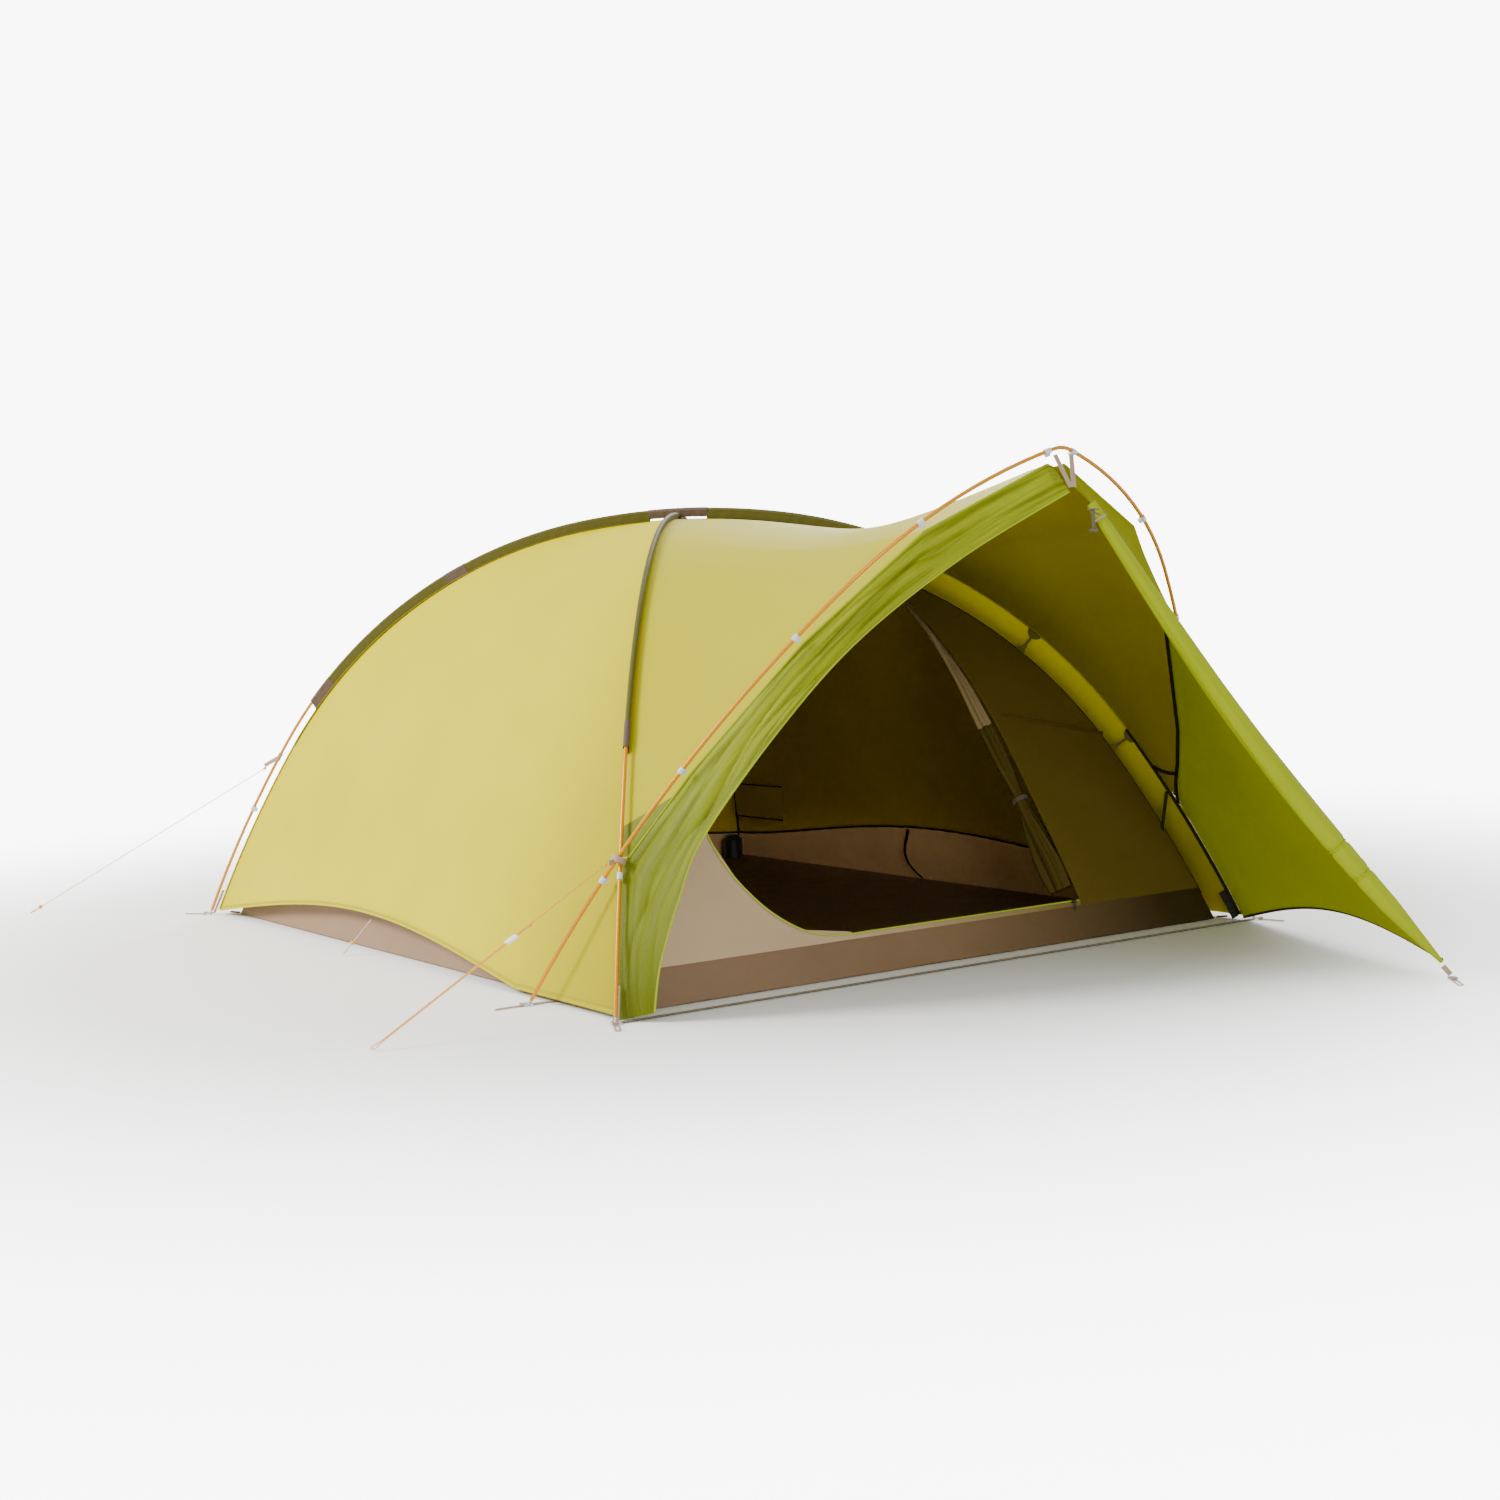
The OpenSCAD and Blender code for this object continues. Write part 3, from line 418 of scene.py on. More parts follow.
GREIGE = (0.52, 0.37, 0.225)
LIME = (0.67, 0.58, 0.001)
LIME_GLOW = (0.36, 0.33, 0.001)
BAND = (0.225, 0.265, 0.002)
BAND_GLOW = (0.24, 0.32, 0.001)
OLIVE = (0.085, 0.078, 0.011)
RIP = 0.006
M = {
    # Painted shade: the walls darken towards the front (-Y).
    "fly": fabric("fly_ripstop", LIME, LIME_GLOW, 0.12, rip=RIP, rough=0.5, gloss=0.04, mottle=0.07,
                  painted_shade=((0.30, 0.27, 0.001), 1, -0.50, -1.36)),
    # Painted light: the right wall's inner face, brighter than the fly as if lit through it, and darker
    # towards the bottom as painted shade.
    "sunlit": fabric("side_wall_painted_backlight", (0.92, 0.82, 0.001), rip=RIP, rough=0.5, gloss=0.1, mottle=0.05,
                     painted_shade=((0.36, 0.32, 0.001), 2, 0.85, 0.20)),
    # Painted shade: the fly's cloth, darker on the roof.
    "roof": fabric("roof_cloth_painted_shade", (0.43, 0.385, 0.001), rip=RIP, rough=0.46, gloss=0.06, mottle=0.06),
    # Painted shade: the roof's inner face and the upper ridges inside, darker than the fly.
    "painted_inner_shading": fabric("roof_underside_painted_shade", (0.30, 0.25, 0.001), rip=RIP, rough=0.5, gloss=0.3, mottle=0.08),
    # Painted shade: the band darkens towards its foot; its streaks are painted highlight and painted shade.
    "band": fabric("band_ripstop", BAND, BAND_GLOW, 0.25, rip=RIP, rough=0.42, gloss=0.16, crinkle=0.0014,
                   streaks=0.85, painted_shade=((0.105, 0.125, 0.001), 2, 0.80, 0.05)),
    "side": fabric("vestibule_ripstop", (0.27, 0.285, 0.001), (0.20, 0.235, 0.001), 0.28, rip=RIP,
                   rough=0.65, gloss=0.02),
    "roll": fabric("rolled_ripstop", (0.30, 0.36, 0.002), rip=RIP, rough=0.45, crinkle=0.001, gloss=0.08),
    "sleeve": fabric("sleeve_nylon", OLIVE, rough=0.62, weave=0.0012, crinkle=0.001, sheen=0.04, gloss=0.15),
    "patch": fabric("patch_nylon", (0.105, 0.072, 0.052), rough=0.65, weave=0.0018, crinkle=0.0012,
                    sheen=0.05, gloss=0.15),
    # Painted shade: the front wall darkens towards +X, in the vestibule's shade.
    "inner": fabric("inner_nylon", GREIGE, rough=0.62, mottle=0.06, gloss=0.2,
                    painted_shade=((0.20, 0.145, 0.03), 0, -0.30, 0.50)),
    # Painted shade: the greige inner cloth, darker, for the front wall's right part and top.
    "inner_painted_shade": fabric("inner_nylon_painted_shade", (0.115, 0.080, 0.009), rough=0.65, mottle=0.08, gloss=0.15),
    # Painted light: the greige inner cloth of the side and rear walls, tinted as by the yellow-green light
    # that comes through the fly.
    "inner_painted_light": fabric("inner_nylon_painted_light", (0.56, 0.41, 0.010), (0.38, 0.28, 0.005), 0.45, rough=0.65,
                         mottle=0.08, gloss=0.15),
    # Painted shade: the lower part of the gathered door, darker than the upper.
    "gathered_door_painted_shade": fabric("door_nylon_painted_shade", (0.075, 0.052, 0.006), rough=0.65, mottle=0.08, gloss=0.1),
    "door_edge": fabric("door_edge_nylon", (0.30, 0.215, 0.085), rough=0.6, sheen=0.05, gloss=0.2),
    "tub": fabric("tub_nylon", (0.27, 0.165, 0.092), rough=0.45, crinkle=0.0012),
    "floor": fabric("floor_nylon", (0.14, 0.080, 0.040), rough=0.5, crinkle=0.0012, gloss=0.2),
    # Painted shade: the front tub wall, a little darker than the tub and darkening towards +X.
    "tub_front": fabric("tub_front_nylon", (0.215, 0.130, 0.068), rough=0.45, crinkle=0.0012, gloss=0.3,
                        painted_shade=((0.030, 0.018, 0.002), 0, 0.05, 0.80)),
    # Painted light: the tub cloth far lighter, for the tub walls seen from inside.
    "tub_painted_light": fabric("tub_nylon_painted_light", (0.85, 0.52, 0.22), rough=0.5, gloss=0.2),
    "gusset": fabric("gusset_nylon", srgb(38, 33, 30), rough=0.6, weave=0.0015, sheen=0.15),
    "bundle": fabric("bundle_nylon", srgb(24, 22, 21), crinkle=0.002, sheen=0.15),
    "mesh": fabric("pocket_mesh", (0.30, 0.215, 0.04), rough=0.75, weave=0.003, gloss=0.1),
    "piping": fabric("piping_nylon", (0.46, 0.58, 0.02), rough=0.45, sheen=0.15),
    "hanger": fabric("hanger_tape", (0.115, 0.095, 0.008), rough=0.65, weave=0.0016, sheen=0.03, gloss=0.15),
    "hem": tape("hem_tape", (0.46, 0.40, 0.002), (0.20, 0.18, 0.002), 0.012),
    "seam": tape("seam_tape", (0.60, 0.56, 0.02), (0.25, 0.24, 0.02), 0.012),
    "band_seam": tape("band_seam_tape", (0.30, 0.37, 0.012), (0.12, 0.14, 0.01), 0.010),
    "dark_seam": tape("dark_seam_tape", (0.020, 0.014, 0.002), (0.012, 0.009, 0.002), 0.012),
    "inner_seam": tape("inner_seam_tape", (0.085, 0.052, 0.005), (0.04, 0.026, 0.003), 0.010),
    "web": webbing("beige_webbing", (0.40, 0.27, 0.185)),
    "strap": webbing("olive_strap", (0.17, 0.125, 0.055)),
    "dark_web": webbing("dark_strap", (0.10, 0.075, 0.045)),
    "shock": braid("shock_braid", srgb(38, 36, 36), srgb(90, 90, 90)),
    "guy": braid("orange_braid", (0.85, 0.34, 0.005), (0.95, 0.58, 0.04)),
    "guy_pale": braid("pale_braid", srgb(205, 190, 160), srgb(240, 230, 210)),
    "pole": metal("orange_anodised", (0.60, 0.235, 0.001), 0.28, shine=0.3),
    "alloy": metal("bare_alloy", srgb(190, 190, 192), 0.35),
    "clip": plastic("grey_clip", srgb(205, 212, 222)),
    "slider": plastic("dark_slider", srgb(48, 44, 40)),
    "hook": plastic("red_hook", srgb(96, 22, 28)),
    "tensioner": plastic("white_tensioner", srgb(240, 238, 230), 0.3),
}


# ---- mesh building ----
def register(name, data, material, replaces=()):
    o = add_object(name, data)
    data.materials.append(M[material])
    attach(o, "root")
    if replaces:
        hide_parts(*replaces)
    return o


def spans(points, axis):
    """Running length along a grid's axis, on its middle line of the other axis."""
    step = np.linalg.norm(np.diff(points, axis=axis), axis=-1)
    mean = step.mean(axis=1 - axis)
    return np.concatenate([[0], np.cumsum(mean)])


def grid_mesh(name, grid, closed=False):
    """Quads over a grid of points, with a UV map that measures the cloth in metres."""
    m, n = grid.shape[:2]
    loop = n if closed else n - 1
    i, j = np.meshgrid(np.arange(m - 1), np.arange(loop), indexing="ij")
    k = (j + 1) % n
    faces = np.stack([i * n + j, i * n + k, (i + 1) * n + k, (i + 1) * n + j], -1).reshape(-1, 4)
    mesh = bpy.data.meshes.new(name)
    mesh.from_pydata(grid.reshape(-1, 3).tolist(), [], faces.tolist())
    u, v = spans(grid, 0), spans(grid, 1)
    v = np.append(v, v[-1] + (v[-1] - v[-2])) if closed else v
    uv = np.stack([np.stack([u[i + a], v[j + b]], -1) for a, b in ((0, 0), (0, 1), (1, 1), (1, 0))], 2)
    layer = mesh.uv_layers.new(name="measure")
    layer.data.foreach_set("uv", uv.reshape(-1, 2).astype(np.float32).ravel())
    mesh.shade_smooth()
    return mesh


def solid_mesh(name, grid):
    """Closed rings of points along a line, with both ends filled."""
    mesh = grid_mesh(name, grid, closed=True)
    rows, n = grid.shape[:2]
    bm = bmesh.new()
    bm.from_mesh(mesh)
    bm.verts.ensure_lookup_table()
    for start in (0, (rows - 1) * n):
        ring = [bm.verts[start + k] for k in range(n)]
        bm.faces.new(ring if start else ring[::-1])
    bm.to_mesh(mesh)
    bm.free()
    return mesh


def normals(grid):
    return unit(np.cross(np.gradient(grid, axis=0), np.gradient(grid, axis=1)))


def field(grid, scale, seed=0.0):
    """Smooth noise over a grid's points, from -1 to 1."""
    flat = grid.reshape(-1, 3) * scale + seed
    return np.array([noise.noise(Vector(p)) for p in flat]).reshape(grid.shape[:2])


def pull(grid, anchors, reach, depth, folds):
    """Tension folds that fan out from the points where the cloth is held."""
    out = normals(grid)
    for k, anchor in enumerate(anchors):
        away = grid - np.asarray(anchor)
        far = np.linalg.norm(away, axis=-1)
        side = unit(np.cross(out, vec(0.3, 0.2, 1.0)))
        ahead = np.cross(side, out)
        angle = np.arctan2((away * side).sum(-1), (away * ahead).sum(-1))
        wave = np.sin(angle * folds + 1.7 * k) * 0.6 + 0.4 * np.sin(angle * (folds + 4) + k)
        size = depth * (far / reach) * np.exp(1 - far / reach * 2.2)
        grid = grid + out * (size * wave)[..., None]
    return grid


def cloth(name, grid, material, replaces=()):
    """One sheet of cloth, with its flat size measured on it."""
    o = register(name, grid_mesh(name, grid), material, replaces)


def tangents(line):
    return unit(np.gradient(line, axis=0))


def strip(name, line, side, width, material):
    """Tape along a line, crowned a little. Side is the direction of its width, at each point or for all."""
    side = np.broadcast_to(side, line.shape)
    side = unit(side - (side * tangents(line)).sum(-1, keepdims=True) * tangents(line))
    lift = unit(np.cross(tangents(line), side))
    across = np.linspace(-0.5, 0.5, 5)[:, None]
    crown = 0.0008 * (1 - (2 * across) ** 4)
    grid = line[:, None] + side[:, None] * (across * width) + lift[:, None] * crown
    register(name, grid_mesh(name, grid), material)


def ring_grid(line, profile, ref):
    """Sweeps a profile of points (a, b) along a line: a across ref, b towards it. It may vary on the way."""
    t = tangents(line)
    side = unit(np.cross(t, ref))
    lift = np.cross(side, t)
    p = np.broadcast_to(profile, (len(line), *profile.shape[-2:]))
    return line[:, None] + p[..., :1] * side[:, None] + p[..., 1:] * lift[:, None]


def around(sides):
    return np.linspace(0, 2 * math.pi, sides, endpoint=False)


def circle(angle):
    return np.stack([np.cos(angle), np.sin(angle)], -1)


def tube(name, line, radius, material, sides=8, ref=UP, replaces=()):
    grid = ring_grid(line, circle(around(sides)) * radius, ref)
    register(name, solid_mesh(name, grid), material, replaces)


def wear(node, material):
    """Gives a CAD node its finished material."""
    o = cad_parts[node]
    o.data.materials.clear()
    o.data.materials.append(M[material])


# ---- guylines ----
GUY_F = [(-0.946, -1.131, 0.344), (-1.556, -1.139, 0.005)]
GUY_R = [(-0.877, 1.086, 0.464), (-1.440, 1.755, 0.005)]
GUY_S = [(-0.990, 0.098, 0.096), (-1.062, 0.132, 0.005)]
CORD_R = 0.0013
EYE_R = 0.009
EYE_LEAD = 0.030


def guyline(name, ends, gap, back, material, node):
    """A line runs down one side, round an eye at its ground end and back on the other side."""
    p, q = (np.array(e) for e in ends)
    u = unit(q - p)
    v = unit(np.cross(UP, u))
    near_eye = np.linalg.norm(q - p) - EYE_LEAD
    turn = np.radians(np.arange(-120, 121, 15))
    down = [p + u * d - v * gap for d in np.linspace(0, near_eye, 12)]
    eye = [q - EYE_R * u + EYE_R * (math.sin(b) * v + math.cos(b) * u) for b in turn]
    up = [p + u * d + v * gap for d in np.linspace(near_eye, back, 8)]
    route = down + eye + up
    curve = bpy.data.curves.new(name, "CURVE")
    curve.dimensions = "3D"
    curve.bevel_depth = CORD_R
    curve.bevel_resolution = 4
    s = curve.splines.new("POLY")
    s.points.add(len(route) - 1)
    for k, point in enumerate(route):
        s.points[k].co = (*point, 1)
    o = register(name, curve, material, [node])


def make_guylines():
    rear, side = (float(np.linalg.norm(np.subtract(*ends))) - 0.048 for ends in (GUY_R, GUY_S))
    guyline("front_guyline", GUY_F, 0.0035, 0.236, "guy", "guyline_front")
    guyline("rear_guyline", GUY_R, 0.00175, rear, "guy", "guyline_rear")
    guyline("side_guyline", GUY_S, 0.00175, side, "guy_pale", "guyline_side")


# ---- sleeves over the dome poles ----
CUFF_FRONT = (0.692, 0.768)
CUFF_REAR = (0.780, 0.874)
MID = (1.380, 1.450)
CROWN_HALF = 0.088


def sleeve_profile(radius, fin, thick):
    """Teardrop: round over the pole, closing to a fin that reaches down to the fly. (across, inward)."""
    head = circle(np.radians(np.linspace(-200, 20, 15))) * radius
    down = np.linspace(0.006, fin, 7)[:, None]
    narrow = mix(radius * 0.72, thick, smooth(np.linspace(0.05, 1, 7)))[:, None]
    right = np.hstack([narrow, down])
    left = np.hstack([-narrow, down])[::-1]
    return np.vstack([head, right, left])


def sleeve_run(name, sx, sy, start, end, material, radius=0.0066, fin=FLY_GAP + 0.001, thick=0.0009,
               replaces=(), slant=0.0, crimp=0.0008, seed=0.0):
    """Cloth sleeve along a dome pole. Slant pushes its lower end along the pole where it nears the fly."""
    count = max(12, int((end - start) / 0.006))
    profile = sleeve_profile(radius, fin, thick)
    share = np.clip(profile[:, 1] / fin, 0, 1)
    at_end = (1 - steps(count)) ** 8
    along = np.linspace(start, end, count)[:, None] + share[None] * (slant * at_end)[:, None]
    ripple = np.sin(along * 190 + seed + 3 * np.sin(along * 23 + seed)) * hump(share)[None]
    ripple = ripple * (0.4 + 0.6 * np.sin(along * 11 + seed) ** 2)
    middle = dome_pt(sx, sy, along, np.broadcast_to(profile[:, 1], along.shape), dome_chain(sx, sy))
    grid = middle + across_pole(sx, sy) * (profile[:, 0] + crimp * ripple)[..., None]
    register(name, grid_mesh(name, grid, closed=True), material, replaces)


def make_sleeves():
    """Front halves have one run of sleeve; rear halves have two with a patch between them."""
    for pole, pair in (("a", [(-1, 1), (1, -1)]), ("b", [(-1, -1), (1, 1)])):
        for sx, sy in pair:
            rear = sy > 0
            cuff = CUFF_REAR if rear else CUFF_FRONT
            tag = f"{pole}_{'rear' if rear else 'front'}"
            end = dome_chain(sx, sy).length - (0.030 if pole == "b" else CROWN_HALF)
            sleeve_run(f"sleeve_{tag}_low", sx, sy, cuff[1] - 0.004, MID[0] if rear else end, "sleeve",
                       replaces=() if rear else [f"sleeve_{pole}"], seed=sx)
            if rear:
                sleeve_run(f"sleeve_{tag}_high", sx, sy, MID[1], end, "sleeve", seed=2 + sx)
                sleeve_run(f"mid_patch_{tag}", sx, sy, MID[0] - 0.003, MID[1] + 0.003, "patch",
                           radius=0.0074, thick=0.0016, replaces=["mid_patches"], crimp=0.0012, seed=1.0)
            sleeve_run(f"cuff_{tag}", sx, sy, *cuff, "patch", radius=0.0076, thick=0.0017,
                       replaces=["sleeve_cuffs"], slant=-0.012, crimp=0.0012, seed=3.0)
    for sx, sy, tag in ((-1, 1, "rear"), (1, -1, "front")):
        start, end = DOME.length - CROWN_HALF - 0.003, DOME.length + 0.0005
        sleeve_run(f"crown_patch_{tag}", sx, sy, start, end, "patch", radius=0.0078, fin=0.020, thick=0.0016,
                   replaces=["crown_patch"], crimp=0.0012)


# ---- the fly ----
CROWN_STOP = 0.003
RIDGE_EASE = 0.0003
SIDE_SAG = 0.030
ROOF_SAG = 0.044
CROSS_L = (0.391, 0.430)


def side_hem(v):
    return 0.014 + HEM_H * np.where(v < -0.6, 0, np.sin(math.pi * np.clip((v + 0.6) / 1.6, 0, 1)))


def end_hem(v):
    return 0.014 + HEM_H * np.cos(math.pi / 2 * v)


def dome_wall(inward, low, v, w, sag, end=False, stop=CROWN_STOP):
    """A wall of the dome: w from its lower edge to the crown, v from one ridge to the other."""
    start = DOME.length_at(low, inward)
    x, z = DOME.at(mix(start, DOME.length - stop, w), inward)
    bow = sag * (1 - v**2) * hump(w)
    if end:
        return np.stack([v * (x * FOOT_X / SPAN - RIDGE_EASE), x * FOOT_Y / SPAN - bow, z], -1)
    return np.stack([x * FOOT_X / SPAN - bow, v * (x * FOOT_Y / SPAN - RIDGE_EASE), z], -1)


def grid_vw(m, n):
    w, v = np.meshgrid(steps(m), np.linspace(-1, 1, n), indexing="ij")
    return v, w


def leg_anchors(sx, sy):
    """Where a dome pole's leg holds the fly: at the foot, the clip and the cuff."""
    clip, cuff = (0.380, CUFF_REAR[0]) if sy > 0 else (0.352, CUFF_FRONT[0])
    return [dome_pt(sx, sy, length, FLY_GAP) for length in (0.03, clip, cuff)]


def chord(s, length):
    """The fly's edge at the arch: straight from one clip to the next, and lower than the pole at the peak."""
    knots = np.array([CROSS_L[1] + 0.012, *CLIP_L[1:], ARCH.length])
    gaps = np.array([ARCH_GAP] * 4 + [ARCH_GAP + 0.006, ARCH_GAP + 0.022])
    places = arch_pt(s, knots, gaps)
    return np.stack([np.interp(length, knots, places[:, k]) for k in range(3)], -1)


def edge_mask(grid, margin):
    """0 at a grid's edges, 1 beyond a margin in metres."""
    u, v = spans(grid, 0), spans(grid, 1)
    a = np.minimum(u, u[-1] - u)[:, None]
    b = np.minimum(v, v[-1] - v)[None]
    return smooth(np.minimum(a, b) / margin)


def inside(grid):
    """Normals of a panel that point into the tent."""
    out = normals(grid)
    return out * np.sign(np.sum((vec(0, 0, 0.2) - grid) * out))


def painted_inner_shading(name, grid, material):
    """Inner face of a fly panel: a sheet a little inside it and less so at its edges, in a material that
    paints light and shade on that face.
    """
    inner = grid + inside(grid) * (0.0006 + 0.003 * edge_mask(grid, 0.02))[..., None]
    cloth(name, inner[::2, ::2], material)


def seam(s, t):
    """Front seam of the fly: up the dome pole to the crossing, then from clip to clip to the peak."""
    t = np.asarray(t, float)
    leg = dome_pt(s, -1, mix(0.014, CROSS_L[0] - 0.010, t / 0.25), FLY_GAP)
    arch = chord(s, mix(CROSS_L[1] + 0.030, ARCH.length, (t - 0.25) / 0.75))
    return mix(leg, arch, smooth((t - 0.19) / 0.12)[..., None])


BAND_EDGE = [(-0.948, -1.312, 0.022), (-0.932, -1.320, 0.130), (-0.885, -1.332, 0.270),
             (-0.820, -1.347, 0.409), (-0.650, -1.415, 0.640), (-0.472, -1.488, 0.834),
             (-0.253, -1.593, 1.009), (-0.004, -1.688, 1.152)]
ROLL_TOP = vec(0.062, -1.694, 1.120)
ROLL_TIP = vec(0.668, -2.172, 0.034)
ROLL_SAG = 0.062
ROLL_OUT = unit(vec(-0.8, -0.62, 0.12))
SIDE_HEM_H = 0.055
CLIP_L = (0.370, 0.690, 1.090, 1.475, 1.830)
HEM_LIFT = vec(0, 0, 0.004)
ROLL_TIES = (0.03, 0.70, 0.77)


def roll_line(t):
    t = np.asarray(t, float)
    return mix(ROLL_TOP, ROLL_TIP, t[..., None]) - UP * (ROLL_SAG * hump(t))[..., None]


def roof_grid(m, n):
    """Saddle between the front ridges and the arch: u from left to right, w from the ridges to the arch."""
    w, u = np.meshgrid(steps(m), np.linspace(-1, 1, n), indexing="ij")
    ease = 0.16 * hump(w)
    t = np.sqrt(u**2 * (1 - ease**2) + ease**2)
    share = (u / np.maximum(t, 1e-9))[..., None] * vec(1, 0, 0) + vec(0, 1, 1)
    rear = dome_pt(1, -1, mix(DOME.length - 0.002, CROSS_L[0] + 0.012, t), FLY_GAP)
    front = chord(1, mix(ARCH.length, CROSS_L[1] + 0.012, t))
    grid = mix(rear, front, w[..., None]) * share
    grid[..., 2] -= ROOF_SAG * hump(w) * np.cos(math.pi / 2 * t)
    return grid


def make_fly():
    v, w = grid_vw(110, 170)
    plain = dome_wall(FLY_GAP, side_hem(v), v, w, SIDE_SAG)
    right = pull(plain, leg_anchors(1, -1) + leg_anchors(1, 1), 0.07, 0.0022, 9)
    right = right + normals(right) * (field(right, 2.3) * 0.004 + field(right, 9, 3) * 0.0007)[..., None]
    right = mix(plain, right, edge_mask(plain, 0.05)[..., None])
    cloth("fly_right_wall", right[:, ::-1], "fly", ["fly_right"])
    # Painted light: a bright sheet just inside the right wall.
    painted_inner_shading("fly_right_painted_backlight", right[:, ::-1], "sunlit")
    cloth("fly_left_wall", right * MIRROR, "fly", ["fly_left"])
    plain = dome_wall(FLY_GAP, end_hem(v), v, w, SIDE_SAG, end=True)
    rear = pull(plain, leg_anchors(-1, 1) + leg_anchors(1, 1), 0.07, 0.0022, 9)
    rear = rear + normals(rear) * (field(rear, 2.6, 9) * 0.004)[..., None]
    rear = mix(plain, rear, edge_mask(plain, 0.05)[..., None])
    cloth("fly_rear_wall", rear, "fly", ["fly_rear"])
    plain = roof_grid(90, 240)
    clips = [arch_pt(s, length, ARCH_GAP) for s in (-1, 1) for length in CLIP_L[1:]]
    roof = pull(plain, clips, 0.06, 0.0024, 8)
    roof = mix(plain, roof, edge_mask(plain, 0.03)[..., None])
    cloth("fly_roof_sheet", roof[::-1], "roof", ["fly_roof"])
    # Painted shade: a darker sheet just inside the roof.
    painted_inner_shading("fly_roof_painted_shade", roof[::-1], "painted_inner_shading")
    make_hems(right[0], rear[0])
    make_crossing_patches()
    make_band()
    make_side()
    make_roll()


DARK_TO = 0.63


def make_hems(right, rear):
    """Tapes on the hems and ridges. Inside, a ridge has a dark line up to the length DARK_TO, and above it a
    strip of the roof's painted shade.
    """
    for name, line in (("right", right), ("left", right * MIRROR), ("rear", rear)):
        strip(f"fly_hem_{name}", line + HEM_LIFT, UP, 0.012, "hem")
    for sx, sy, tag in corners():
        side = across_pole(sx, sy)
        line = dome_pt(sx, sy, np.linspace(0.03, DOME.length - 0.004, 160), FLY_GAP - 0.0012)
        # Outside, the right front ridge is drawn dark and the others pale.
        strip(f"fly_ridge_{tag}", line, side, 0.014, "dark_seam" if tag == "rf" else "seam")
        # Inside each ridge, a dark line from its foot up to DARK_TO.
        line = dome_pt(sx, sy, np.linspace(0.03, DARK_TO, 70), FLY_GAP + 0.007)
        tube(f"ridge_dark_line_{tag}", line, 0.0042, "dark_seam")
        # Painted shade: the ridge's inside above DARK_TO.
        line = dome_pt(sx, sy, np.linspace(DARK_TO, DOME.length - 0.01, 120), FLY_GAP + 0.0035)
        strip(f"ridge_painted_shade_{tag}", line, side, 0.016, "painted_inner_shading")
        if sy > 0:
            edge = chord(sx, np.linspace(CROSS_L[1] + 0.014, ARCH.length, 300))
            tube(f"arch_edge_{tag[0]}", edge, 0.0026, "band_seam")


def make_crossing_patches():
    """Fills the corner of the fly between a dome pole and the arch where they cross."""
    share = steps(8)[None, :, None]
    for s, tag, material in ((-1, "l", "band"), (1, "r", "side")):
        leg = dome_pt(s, -1, mix(0.29, 0.49, steps(30)), FLY_GAP)
        grid = mix(seam(s, np.linspace(0.16, 0.34, 30))[:, None], leg[:, None], share)
        register(f"crossing_patch_{tag}", grid_mesh("crossing_patch", grid), material)


def make_band():
    t, w = np.meshgrid(steps(420), steps(60), indexing="ij")
    plain = mix(spline(BAND_EDGE, t), seam(-1, t), w[..., None])
    run = t * 30
    drift = field(plain, 3.2, 7)
    fine = field(plain, 11, 5)
    one = 1 - np.abs(np.sin(w * 4.2 + run * 0.16 + 2.2 * drift)) ** 0.6
    two = 1 - np.abs(np.sin(w * 7.5 - run * 0.24 + 3.0 * drift + 1.0)) ** 0.6
    amount = hump(w) ** 0.5 * np.sin(math.pi * np.clip(t * 1.02, 0, 1)) ** 0.5
    folds = amount * (0.011 * one + 0.008 * two + 0.006 * drift + 0.003 * fine - 0.006)
    grid = plain - normals(plain) * folds[..., None]
    cloth("fly_front_band", grid, "band", ["fly_band"])
    edge = spline(BAND_EDGE, steps(200))
    tube("band_edge_cord", edge, 0.0022, "band_seam")


def make_side():
    t, w = np.meshgrid(steps(260), steps(110), indexing="ij")
    plain = mix(seam(1, t), roll_line(1 - t), w[..., None])
    plain[..., 2] += (SIDE_HEM_H * (1 - t) ** 3 + 0.012 * (1 - t)) * hump(w)
    swell = field(plain, 3, 2) * 0.006 * hump(w) * hump(t)
    grid = mix(plain, plain + normals(plain) * swell[..., None], edge_mask(plain, 0.04)[..., None])
    cloth("fly_vestibule_side", grid, "side", ["fly_side"])
    tube("vestibule_hem", grid[0] + HEM_LIFT, 0.0038, "dark_seam", sides=10)
    inward = unit(dome_pt(1, -1, 0.6, 0.3) - dome_pt(1, -1, 0.6))
    line = seam(1, np.linspace(0.24, 0.66, 120)) + inward * 0.006
    strip("arch_seam_tape", line, vec(0, 1, 0.2), 0.013, "dark_seam")
    roof = roof_grid(60, 240)
    column = int(np.argmin(np.linalg.norm(roof[0] - dome_pt(1, -1, 0.50, FLY_GAP), axis=-1)))
    line = (roof + inside(roof) * 0.007)[2:-2, column]
    strip("cross_tape", line, UP, 0.010, "dark_seam")
    top = dome_pt(1, -1, 0.425, FLY_GAP + 0.012)
    hang = top + vec(-0.028, 0.010, -0.190) * steps(30)[:, None]
    strip("crossing_tape", hang, unit(vec(0.7, -0.7, 0)), 0.009, "dark_seam")


